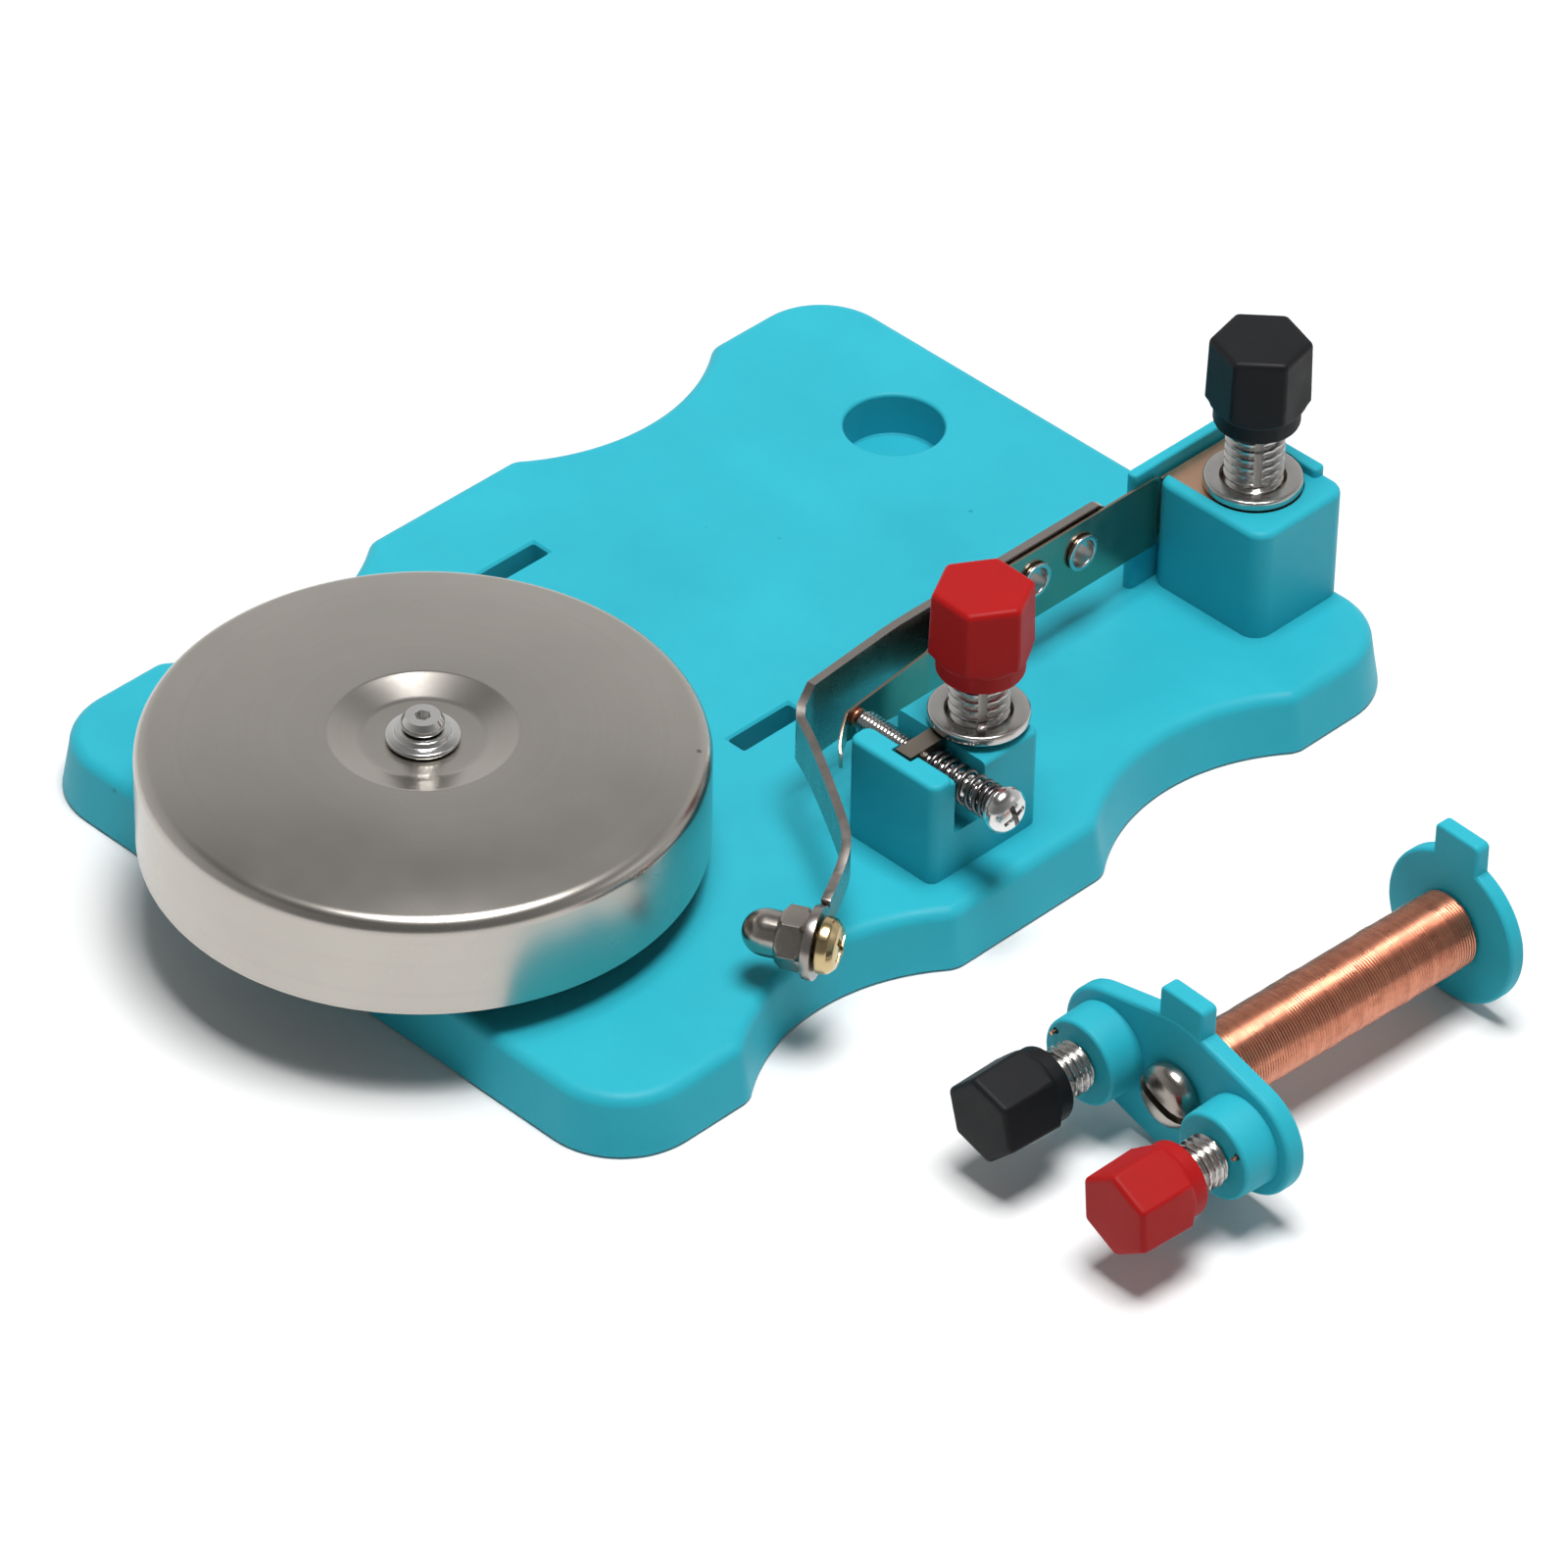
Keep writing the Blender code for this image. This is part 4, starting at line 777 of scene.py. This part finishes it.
def build_cap(name, slot, matrix, scale, turn):
    """A hexagonal cap: soft corners, round skirt below, slight taper, hollow from below."""
    flat, soft, corner, height, skirt = 0.0046, 0.0006, 0.00522, 0.0097, 0.00435
    bore, step_in, taper, edge = 0.0037, 0.0033, 0.03, 0.0007
    blend_low, blend_high = 0.0018, 0.0027
    rows = [(bore, height - 0.0012), (bore, 0.0013), (bore - 0.0001, 0.0012), (step_in, 0.0012)]
    rows += [(step_in, 0.0002), (step_in + 0.0002, 0.0)]
    rows += [(skirt - 0.0003, 0.0), (skirt - 0.0001, 0.00008), (skirt, 0.0003), (skirt, 0.0017)]
    for step in range(8):
        t = step / 7
        limit = skirt + (corner - skirt) * t
        rows.append((hex_radius(flat, soft, turn, limit), blend_low + (blend_high - blend_low) * t))
    for t in (0.3, 0.6, 1.0):
        z = blend_high + (height - edge - blend_high) * t
        rows.append((hex_radius(flat * (1 - taper * t), soft, turn), z))
    for step in range(1, 7):
        a = step * pi / 12
        reach = flat * (1 - taper) - 0.0006 * (1 - cos(a))
        rows.append((hex_radius(reach, soft, turn), height - edge + edge * sin(a)))
    rows.append((hex_radius(flat * (1 - taper) - 0.0009, soft, turn), height))
    angles = hex_angles(flat, soft, turn)
    sections = [[p * scale for p in polar(angles, r, z)] for r, z in rows]
    show(f"{name}_grip", loft(sections), f"{name}_body", slot, [name], matrix, sharp=50)


def build_stud(name, matrix, scale, top, shank_end, body, slit_turn):
    """A slotted stud with a real thread above its seat and a plain shank below."""
    radius, shank = 0.003 * scale, 0.002 * scale
    pitch = 0.001 if scale == 1.0 else 0.0008
    sections = [polar(even_angles(56), shank, z) for z in (shank_end, -0.00001)]
    sections += threaded(radius, 0.0005 * scale, pitch, 0.0, top, 64, 14)
    half = 0.00045
    slit = box(-0.005, 0.005, -half, half, 0.0012, top + OVERSHOOT)
    steps = [cut(slit, matrix @ Matrix.Rotation(slit_turn, 4, "Z"))]
    nodes = [f"{name}_stud"]
    show(f"{name}_thread", loft(sections), body, "zinc_steel", nodes, matrix, steps, sharp=30)


def build_post_washer(name):
    low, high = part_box(name)
    inner, outer = 0.00325, 0.005
    profile = [(inner, low.z), (outer, low.z), (outer, high.z), (inner, high.z)]
    washer = lathe(profile, 0.00035, 96, True, 5)
    show(f"{name}_detail", washer, "base", "zinc_steel", [name], upright(middle(name)))


def build_base_posts():
    reach = 0.0112
    for post, slot, turn in (("rear", "black_plastic", 12), ("front", "red_plastic", 28)):
        low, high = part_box(f"{post}_post_stud")
        centre = middle(f"{post}_post_stud")
        seat = high.z - reach
        place = upright(centre, seat)
        build_stud(f"{post}_post", place, 1.0, reach, low.z - seat, "base", radians(50))
        build_post_washer(f"{post}_post_washer")
        cap = f"{post}_cap"
        build_cap(cap, slot, upright(centre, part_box(cap)[0].z), 1.0, radians(turn))


# ---------- leaf and armature

EYELET_XS = (0.024, 0.0306)
EYELET_HOLE = 0.00165
LEAF_LOW, LEAF_HIGH = 0.0111, 0.0195
CONTACT_START = (0.0062, -0.0209)
CONTACT_END = (-0.0052, -0.0214)
HAMMER = Vector((-0.0274, -0.0394, 0.012))
HAMMER_AXIS = Vector((-0.46, 0.888, 0.0)).normalized()
HAMMER_FRAME = aim(HAMMER_AXIS, HAMMER)
BRACKET_Y = -0.0316


def eyelet_holes(y):
    holes = []
    for x in EYELET_XS:
        holes.append(drill(EYELET_HOLE, -0.002, 0.002, aim((0, 1, 0), (x, y, EYELET_Z)), 64))
    return holes


def build_leaf_mount():
    post = middle("rear_post_stud")
    low, high = 0.0185, 0.019
    half = LEAF_THICK / 2
    web = box(post.x - 0.0058, post.x + 0.0049, LEAF_Y - half, LEAF_Y + half, LEAF_LOW, high)
    steps = [join(web), drill(SHANK_HOLE, 0.017, 0.021, upright(post))]
    tab = prism(tab_outline(0.0, post), low, high)
    show("leaf_clamp_tab", tab, "base", "phosphor_bronze", ["leaf_mount"], IDENTITY, steps, 0.00008)


def build_leaf():
    start = (*CONTACT_START, 0.0122, 0.018)
    end = (*CONTACT_END, 0.0136, 0.0171)
    path = [(HINGE_X - 0.0003, LEAF_Y, LEAF_LOW, LEAF_HIGH)]
    knots = [(0.0185, LEAF_Y, LEAF_LOW, LEAF_HIGH), (0.0165, LEAF_Y - 0.0002, 0.0112, 0.0194)]
    path += smooth_path([*knots, (0.012, -0.0192, 0.0115, 0.0188), start], 8)
    curl = [(-0.0068, -0.0224, 0.0137, 0.0166), (-0.0081, -0.0234, 0.0138, 0.016)]
    path += smooth_path([end, *curl, (-0.0087, -0.0242, 0.0138, 0.0156)], 8)
    show(
        "leaf_blade", strip(path, LEAF_THICK), "armature", "phosphor_bronze", ["spring_leaf"],
        IDENTITY, eyelet_holes(LEAF_Y), 0.00006, LEAF_FINISH,
    )


def build_contact_dot():
    """The contact's button, on the leaf where the contact screw points at it."""
    low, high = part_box("contact_button")
    along = (Vector(CONTACT_END) - Vector(CONTACT_START)).normalized()
    outwards = Vector((-along.y, along.x, 0.0))
    share = (CONTACT_START[0] - sum(GROOVE) / 2) / (CONTACT_START[0] - CONTACT_END[0])
    spot = Vector(CONTACT_START).lerp(Vector(CONTACT_END), share)
    face = Vector((*spot, (low.z + high.z) / 2)) + outwards * (LEAF_THICK / 2 + 0.00005)
    dot = lathe([(0.001, 0.0), (0.001, 0.0003), (0.0006, 0.00045)], 0.0002, 48)
    place = aim(outwards, face)
    show("contact_dot", dot, "armature", "enamelled_copper", ["contact_button"], place)


def build_plate():
    half = PLATE_THICK / 2
    y = LEAF_Y + LEAF_THICK / 2 + 0.0002 + half
    low, high = LEAF_LOW, LEAF_HIGH + 0.0004
    path = [(0.0346, y, low + 0.0012, high - 0.0012), (0.0342, y, low + 0.0005, high - 0.0005)]
    path += [(0.0334, y, low, high), (0.006, y, low, high), (0.004, y - 0.0001, low, high)]
    path += [(-0.0058, y - 0.0009, low, high), (-0.007, y - 0.001, 0.0125, high)]
    path.append((-0.0086, y - 0.0013, 0.0129, 0.0183))
    arm = [(-0.0097, y - 0.0023, 0.013, 0.018), (-0.0117, -0.0238, 0.0129, 0.0175)]
    arm += [(-0.016, -0.0312, 0.0127, 0.0168), (-0.0182, -0.0343, 0.0124, 0.0163)]
    arm += [(-0.0208, -0.0361, 0.012, 0.0156), (-0.0246, -0.03795, 0.0113, 0.0147)]
    path += smooth_path(arm, 8)
    steps = [join(turned([(0.0036, -half), (0.0036, half)]), HAMMER_FRAME)]
    steps.append(drill(0.00165, -0.002, 0.002, HAMMER_FRAME, 64))
    # The blade's colour carries painted shade from the iron look.
    show(
        "armature_blade", strip(path, PLATE_THICK), "armature", "zinc_steel", ["armature_plate"],
        IDENTITY, steps + eyelet_holes(y), 0.0001, IRON_PAINTED_SHADE,
    )


def build_eyelets():
    barrel = EYELET_HOLE - 0.00005
    inner = barrel - 0.00015
    rim = 0.002
    front = LEAF_Y - LEAF_THICK / 2 - 0.0002
    back = LEAF_Y + LEAF_THICK / 2 + 0.0004 + PLATE_THICK
    length = back - front
    profile = [(inner, -0.0003), (rim, -0.0003), (rim, 0.0), (barrel, 0.0), (barrel, length)]
    profile += [(rim, length), (rim, length + 0.0003), (inner, length + 0.0003)]
    for name, x in zip(("eyelet_near", "eyelet_far"), EYELET_XS):
        place = aim((0, 1, 0), (x, front, EYELET_Z))
        show(f"{name}_rivet", lathe(profile, 0.00018, 64, True), "armature", "zinc_steel", [name], place)


def build_hammer_screw(face):
    head, shank = 0.0028, 0.0015
    top = face + 0.0019
    profile = [(0.0013, -top), (0.0021, -face - 0.0017), (head - 0.0001, -face - 0.0011)]
    profile += [(head, -face - 0.0004), (head, -face), (shank, -face)]
    profile += [(shank, face + 0.0033), (shank - 0.0003, face + 0.0035)]
    flip = HAMMER_FRAME @ Matrix.Rotation(pi, 4, "X") @ Matrix.Rotation(0.5, 4, "Z")
    steps = [cut(bar, flip) for bar in cross_recess(0.0016, 0.00036, 0.0013, top)]
    screw = lathe(profile, 0.0006, steps=6)
    nodes = ["hammer_screw"]
    show("hammer_screw_detail", screw, "armature", "brass", nodes, HAMMER_FRAME, steps, 0.00005)


def build_acorn(face):
    """A domed nut: a chamfered hexagon, a neck, and a dome struck in an arc."""
    flat, soft, hex_height, bore = 0.00275, 0.0001, 0.0026, 0.00165
    neck, neck_height, dome = 0.0023, 0.0015, 0.0024
    rows = [(bore, face + 0.0039), (bore, face), *hex_rows(flat, soft, hex_height, 0.0004, face)]
    start = face + hex_height
    rows += [(0.0025, start), (neck, start + 0.0002), (neck, start + neck_height)]
    for step in range(1, 11):
        a = step * pi / 21
        rows.append((neck * cos(a), start + neck_height + dome * sin(a)))
    angles = hex_angles(flat, soft, 0.0, 6, 3)
    nut = loft([polar(angles, r, z) for r, z in rows])
    look = LOOKS["dark_nickel"]
    show("hammer_acorn", nut, "armature", "bright_steel", ["hammer_nut"], HAMMER_FRAME, look=look)


def build_hammer():
    face = PLATE_THICK / 2 + 0.0002
    build_hammer_screw(face)
    build_acorn(face)


# ---------- contact screw


def build_bracket(line):
    """A strap from the red post to the contact screw, with a tab bent down over the groove."""
    post = middle("front_post_stud")
    low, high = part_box("contact_bracket")
    z0, z1 = high.z - 0.0004, high.z
    arm = box(-0.0069, post.x, BRACKET_Y, BRACKET_Y + 0.002, z0, z1)
    tab = box(GROOVE[0] + 0.0002, GROOVE[1] - 0.0002, BRACKET_Y, BRACKET_Y + 0.0007, low.z, z1)
    steps = [join(arm), join(tab), drill(SHANK_HOLE, 0.016, 0.021, upright(post))]
    steps.append(drill(0.0014, -0.033, -0.03, line))
    ring = turned([(0.004, z0), (0.004, z1)])
    show(
        "bracket_strap", ring, "base", "zinc_steel", ["contact_bracket"],
        upright(post), steps, 0.00007, STRAP_FINISH,
    )


def build_contact_screw(line):
    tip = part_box("contact_screw")[1].y
    seat = JOINTS["contact_screw_turn"]["pos_m"][1]
    top = seat - 0.0017
    head = 0.0024
    rows = [(0.0007, top), (0.0013, top + 0.00008), (0.0018, top + 0.00035), (0.0022, top + 0.0008)]
    rows += [(head, top + 0.0012), (head, seat - 0.00006), (head - 0.00005, seat)]
    rows_at_tip = [(0.0009, tip - 0.0002), (0.0006, tip)]
    angles = even_angles(48)
    sections = [polar(angles, r, z) for r, z in rows]
    sections += threaded(0.00125, 0.00022, 0.00045, seat + 0.00001, tip - 0.0003, 48, 8, 0.0001)
    sections += [polar(angles, r, z) for r, z in rows_at_tip]
    flip = line @ Matrix.Rotation(pi, 4, "X") @ Matrix.Rotation(0.35, 4, "Z")
    steps = [cut(bar, flip) for bar in cross_recess(0.0015, 0.0003, 0.0011, -top)]
    show(
        "contact_screw_detail", loft(sections), "contact_screw", "bright_steel", ["contact_screw"],
        line, steps, sharp=32,
    )


def build_contact_washer(line, front, back):
    inner, outer = 0.0014, 0.0021
    ring = lathe([(inner, front), (outer, front), (outer, back), (inner, back)], 0.0001, 64, True)
    nodes = ["contact_screw_washer"]
    show("contact_washer_detail", ring, "contact_advance", "bright_steel", nodes, line)


def build_contact_spring(line, washer_back):
    """An open coil between the bracket and the screw's washer, its turns closer at the middle."""
    wire, coil, turns, steps_per_turn = 0.00026, 0.0016, 9, 32
    start, end = washer_back + 0.0002 + wire, BRACKET_Y - 0.0002 - wire
    points = []
    for i in range(turns * steps_per_turn + 1):
        a = TAU * i / steps_per_turn
        t = i / (turns * steps_per_turn)
        eased = t + 0.35 * (2 * t - 1) * t * (1 - t) * 2
        points.append((coil * cos(a), coil * sin(a), start + (end - start) * eased))
    spring = sweep(points, wire)
    nodes, look = ["contact_spring"], SPRING_FINISH
    show("contact_coil_spring", spring, "base", "bright_steel", nodes, line, look=look)


def build_contact():
    x, _, z = JOINTS["contact_screw_turn"]["pos_m"]
    line = aim((0, 1, 0), (x, 0.0, z))
    build_bracket(line)
    build_contact_screw(line)
    front, back = (corner.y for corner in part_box("contact_screw_washer"))
    build_contact_washer(line, front, back)
    build_contact_spring(line, back)


# ---------- electromagnet

MAGNET_PLACE = Vector((-0.0142, -0.0746, 0.0))
MAGNET_TURN = radians(-2.5)
MAGNET = Matrix.Translation(MAGNET_PLACE) @ Matrix.Rotation(MAGNET_TURN, 4, "Z")
FLANGE_RADIUS, LOBE_RADIUS, LOBE_SPACING = 0.0082, 0.006, 0.0177
PLATE_HALF, DISC_HALF = 0.0011, 0.0009
BOSS_RADIUS, BOSS_FACE = 0.0047, -0.0051
COIL_SCALE = 0.88
LEAD_OUT, LEAD_UP = 0.0031, 0.002


def along_core(u, v=0.0, back=False):
    """A frame whose local +Z runs along the core, or against it, at a distance along and across."""
    return MAGNET @ aim((-1, 0, 0) if back else (1, 0, 0), (u, v, FLANGE_RADIUS))


def flange_outline():
    """The front flange seen along the core: two lobes blended into a round middle."""
    reach = LOBE_SPACING / 2
    lean = asin((FLANGE_RADIUS - LOBE_RADIUS) / reach)
    points = []
    for centre, radius, start, end, steps in (
        (reach, LOBE_RADIUS, -pi / 2 + lean, pi / 2 - lean, 36),
        (0.0, FLANGE_RADIUS, pi / 2 - lean, pi / 2 + lean, 12),
        (-reach, LOBE_RADIUS, pi / 2 + lean, 1.5 * pi - lean, 36),
        (0.0, FLANGE_RADIUS, 1.5 * pi - lean, 1.5 * pi + lean, 12),
    ):
        points += arc(centre, 0.0, radius, start, end, steps)
    return points


def standing(outline, u0, u1):
    """A prism of an outline in the flange's plane, given as (across, up), along the core."""
    return loft([[Vector((u, v, FLANGE_RADIUS + w)) for v, w in outline] for u in (u0, u1)])


def bobbin_joins():
    """The rear disc, the two tabs, the posts' bosses and the tube that the wire is wound on."""
    disc = turned([(FLANGE_RADIUS, 0.0), (FLANGE_RADIUS, 2 * DISC_HALF)])
    steps = [join(disc, along_core(TAB_SPACING - DISC_HALF), 0.0004)]
    tab = rounded_outline(-0.0028, 0.0028, 0.0, 0.011, 0.0006, 6)
    for u, half in ((0.0, 0.001), (TAB_SPACING, DISC_HALF - 0.00002)):
        steps.append(join(standing(tab, u - half, u + half), MAGNET, 0.0003))
    for side in (-1, 1):
        boss = lathe([(BOSS_RADIUS, 0.0), (BOSS_RADIUS - 0.0002, -BOSS_FACE)], 0.0005)
        steps.append(join(boss, along_core(0.0, side * LOBE_SPACING / 2, True), 0.0004))
    tube = turned([(0.0029, 0.0), (0.0029, TAB_SPACING)], 64)
    steps.append(join(tube, along_core(0.0)))
    return steps


def bobbin_cuts():
    """The core's bore, and at each post the shank's hole, the nut's pocket and the lead's hole."""
    steps = [drill(0.00205, -0.01, 0.05, along_core(0.0))]
    shank = 0.002 * COIL_SCALE + 0.00015
    for side in (-1, 1):
        v = side * LOBE_SPACING / 2
        steps.append(drill(shank, -0.01, 0.01, along_core(0.0, v, True)))
        pocket = hex_pocket(0.0059, PLATE_HALF - 0.0024, PLATE_HALF + OVERSHOOT)
        steps.append(cut(pocket, along_core(0.0, v)))
        lead = MAGNET @ aim((1, 0, 0), (0.0, v + side * LEAD_OUT, FLANGE_RADIUS + LEAD_UP))
        steps.append(drill(0.00035, -0.01, 0.01, lead, 24))
    return steps


def build_bobbin():
    """The front flange is softened first, because the bosses and tabs join it on sharp lines."""
    rim = raw(standing(flange_outline(), -PLATE_HALF, PLATE_HALF), MAGNET, "flange")
    add_bevel(rim, 0.0005, 4, 50)
    settle(rim)
    bm = bmesh.new()
    bm.from_mesh(rim.data)
    bpy.data.objects.remove(rim, do_unlink=True)
    steps = bobbin_joins() + bobbin_cuts()
    show("bobbin_moulding", bm, "electromagnet", "teal_plastic", ["coil_bobbin"], MAGNET, steps)


def build_winding():
    """Wire wound side by side, as one rippled surface whose ridges climb like a thread."""
    pitch, reach, inner = 0.00033, 0.00405, 0.0031
    start, end = PLATE_HALF + 0.0003, TAB_SPACING - DISC_HALF - 0.0003
    count, per_turn = 72, 8
    rows = round((end - start) / pitch * per_turn)
    sections = [polar(even_angles(count), inner, start)]
    for i in range(rows + 1):
        u = start + (end - start) * i / rows
        swell = 0.00003 * sin(u * 900) + 0.00002 * sin(u * 2300 + 1.0)
        section = []
        for a in even_angles(count):
            phase = (u / pitch - a / TAU) % 1.0
            ridge = sqrt(max(0.0, 1 - (2 * phase - 1) ** 2))
            r = reach - 0.00005 - pitch * 0.42 * (1 - ridge) + swell * cos(a * 2 + u * 300)
            section.append(Vector((r * cos(a), r * sin(a), u)))
        sections.append(section)
    sections.append(polar(even_angles(count), inner, end))
    coil = loft(sections, ring=True)
    nodes = ["coil_winding"]
    show("coil_turns", coil, "electromagnet", "enamelled_copper", nodes, along_core(0.0), sharp=70)


def build_core():
    """A slotted pan head bolt through the bobbin, threaded at its far end, and its nut."""
    face = PLATE_HALF + 0.0002
    top = face + 0.0023
    head, shank = 0.0033, 0.0019
    thread_start, thread_end = TAB_SPACING - 0.0019, TAB_SPACING + 0.0038
    rows = [(0.0008, -top), (0.0017, -top + 0.0001), (0.0025, -top + 0.0004), (0.003, -top + 0.0008)]
    rows += [(head, -top + 0.0014), (head, -face - 0.0001), (head - 0.0001, -face)]
    rows += [(shank, -face + 0.00001), (shank, thread_start - 0.0001)]
    sections = [polar(even_angles(96), r, z) for r, z in rows]
    sections += threaded(shank, 0.00028, 0.0007, thread_start, thread_end, 96, 8)
    place = along_core(0.0)
    slot = box(-0.004, 0.004, -0.0005, 0.0005, -0.01, -face - 0.0011)
    steps = [cut(slot, place @ Matrix.Rotation(radians(20), 4, "Z"))]
    nodes = ["core_bolt"]
    show("core_bolt_detail", loft(sections), "electromagnet", "dark_nickel", nodes, place, steps, sharp=34)
    nut = hex_nut(0.0062, 0.002, 0.00205)
    place = along_core(TAB_SPACING + DISC_HALF + 0.0002)
    show("core_nut_detail", nut, "electromagnet", "dark_nickel", ["core_nut"], place)


def build_lead(colour, side):
    back = PLATE_HALF + 0.0005
    v = side * (LOBE_SPACING / 2 + LEAD_OUT)
    w = FLANGE_RADIUS + LEAD_UP
    knots = [(back + 0.0006, side * 0.0026, FLANGE_RADIUS + 0.004)]
    knots += [(back + 0.0002, side * 0.006, FLANGE_RADIUS + 0.0046)]
    knots += [(back, v - side * 0.002, w + 0.001), (back, v - side * 0.0004, w + 0.0001)]
    knots += [(back - 0.0006, v, w), (-PLATE_HALF, v, w), (BOSS_FACE - 0.0006, v, w)]
    bm = sweep(smooth_path(knots, 8), 0.0002, 12)
    show(f"lead_wire_{colour}", bm, "electromagnet", "enamelled_copper", [f"coil_lead_{colour}"], MAGNET)


def build_coil_posts():
    shank_end = BOSS_FACE - PLATE_HALF + 0.0002
    for colour, side, turn in (("black", 1, 46), ("red", -1, 35)):
        seat = along_core(BOSS_FACE - 0.0002, side * LOBE_SPACING / 2, True)
        post = f"coil_post_{colour}"
        build_stud(post, seat, COIL_SCALE, 0.008, shank_end, "electromagnet", radians(-30))
        place = seat @ Matrix.Translation((0.0, 0.0, 0.0039))
        build_cap(f"coil_cap_{colour}", f"{colour}_plastic", place, COIL_SCALE, radians(turn))
        build_lead(colour, side)


# ---------- kept CAD nodes

KEPT = {
    "zinc_steel": ["rear_post_nut", "front_post_nut", "coil_post_black_nut", "coil_post_red_nut"],
    "brass": ["rear_cap_insert", "front_cap_insert", "coil_cap_black_insert", "coil_cap_red_insert"],
}


def colour_kept_nodes():
    for slot, names in KEPT.items():
        for name in names:
            for place in NODES[name].material_slots:
                place.material = LOOKS[slot]


# ---------- stage, camera, light


def build_stage():
    look = Look("floor_finish", 0.55)
    clouds = look.noise(6.0, 3.0)
    pale = look.blend(look.span(clouds, 0.3, 0.7, 0.0, 1.0), (0.84, 0.84, 0.84), (0.81, 0.81, 0.81))
    look.wire(Base_Color=pale)
    half = 2.5
    floor = raw(box(-half, half, -half, half, -0.02, -0.00005), IDENTITY, "floor")
    floor.data.materials.append(look.material)


def add_camera():
    """The camera stands at the given azimuth, elevation and distance from a point on the part."""
    target = Vector((-0.0109, -0.0188, 0.01))
    azimuth, elevation, roll = radians(-45.66), radians(38.6), radians(1.17)
    distance = 0.8783
    level = cos(elevation)
    back = Vector((sin(azimuth) * level, -cos(azimuth) * level, sin(elevation)))
    right = Vector((cos(azimuth), sin(azimuth), 0.0))
    up = back.cross(right)
    turned_right = right * cos(roll) + up * sin(roll)
    turned_up = back.cross(turned_right)
    data = bpy.data.cameras.new("camera")
    data.lens = 210.1
    data.sensor_width = 36.0
    data.clip_start, data.clip_end = 0.01, 20.0
    camera = bpy.data.objects.new("camera", data)
    turn = Matrix((turned_right, turned_up, back)).transposed().to_4x4()
    camera.matrix_world = Matrix.Translation(target + back * distance) @ turn
    bpy.context.scene.collection.objects.link(camera)
    bpy.context.scene.camera = camera


def add_light(name, place, target, size, power):
    data = bpy.data.lights.new(name, "AREA")
    data.shape = "RECTANGLE"
    data.size, data.size_y = size
    data.energy = power
    light = bpy.data.objects.new(name, data)
    light.matrix_world = aim(Vector(place) - Vector(target), Vector(place))
    bpy.context.scene.collection.objects.link(light)


def add_lights():
    """An overhead light, a weak one from the right, and a world that is brighter behind the part."""
    centre = (0.0, -0.02, 0.0)
    add_light("overhead", (0.0, -0.1, 0.9), centre, (0.36, 0.36), 9.5)
    add_light("right_side", (0.6, -0.75, 0.5), centre, (0.4, 0.3), 0.2)
    world = bpy.data.worlds.new("studio")
    world.use_nodes = True
    tree = world.node_tree
    new, link = tree.nodes.new, tree.links.new
    shade = tree.nodes["Background"]
    coords = new("ShaderNodeTexCoord")
    apart = new("ShaderNodeSeparateXYZ")
    ramp = new("ShaderNodeValToRGB")
    away = new("ShaderNodeVectorMath")
    away.operation = "DOT_PRODUCT"
    away.inputs[1].default_value = (0.7, 0.7, 0.0)
    side = new("ShaderNodeMapRange")
    for key, value in (("From Min", -0.9), ("From Max", 0.6), ("To Min", 0.22), ("To Max", 0.95)):
        side.inputs[key].default_value = value
    link(coords.outputs["Generated"], away.inputs[0])
    link(away.outputs["Value"], side.inputs["Value"])
    link(side.outputs[0], shade.inputs["Strength"])
    link(coords.outputs["Generated"], apart.inputs[0])
    link(apart.outputs["Z"], ramp.inputs[0])
    link(ramp.outputs[0], shade.inputs["Color"])
    stops = ramp.color_ramp.elements
    stops[0].position, stops[0].color = 0.0, (0.8, 0.8, 0.8, 1.0)
    stops[1].position, stops[1].color = 1.0, (0.3, 0.3, 0.31, 1.0)
    for position, grey in ((0.3, 0.7), (0.62, 0.6), (0.8, 0.15)):
        stop = stops.new(position)
        stop.color = (grey, grey, grey, 1.0)
    bpy.context.scene.world = world
    bpy.context.scene.view_settings.view_transform = "Standard"


add_camera()
add_lights()
build_stage()
build_base()
build_gong()
build_base_posts()
build_leaf_mount()
build_leaf()
build_contact_dot()
build_plate()
build_eyelets()
build_hammer()
build_contact()
build_bobbin()
build_winding()
build_core()
build_coil_posts()
colour_kept_nodes()
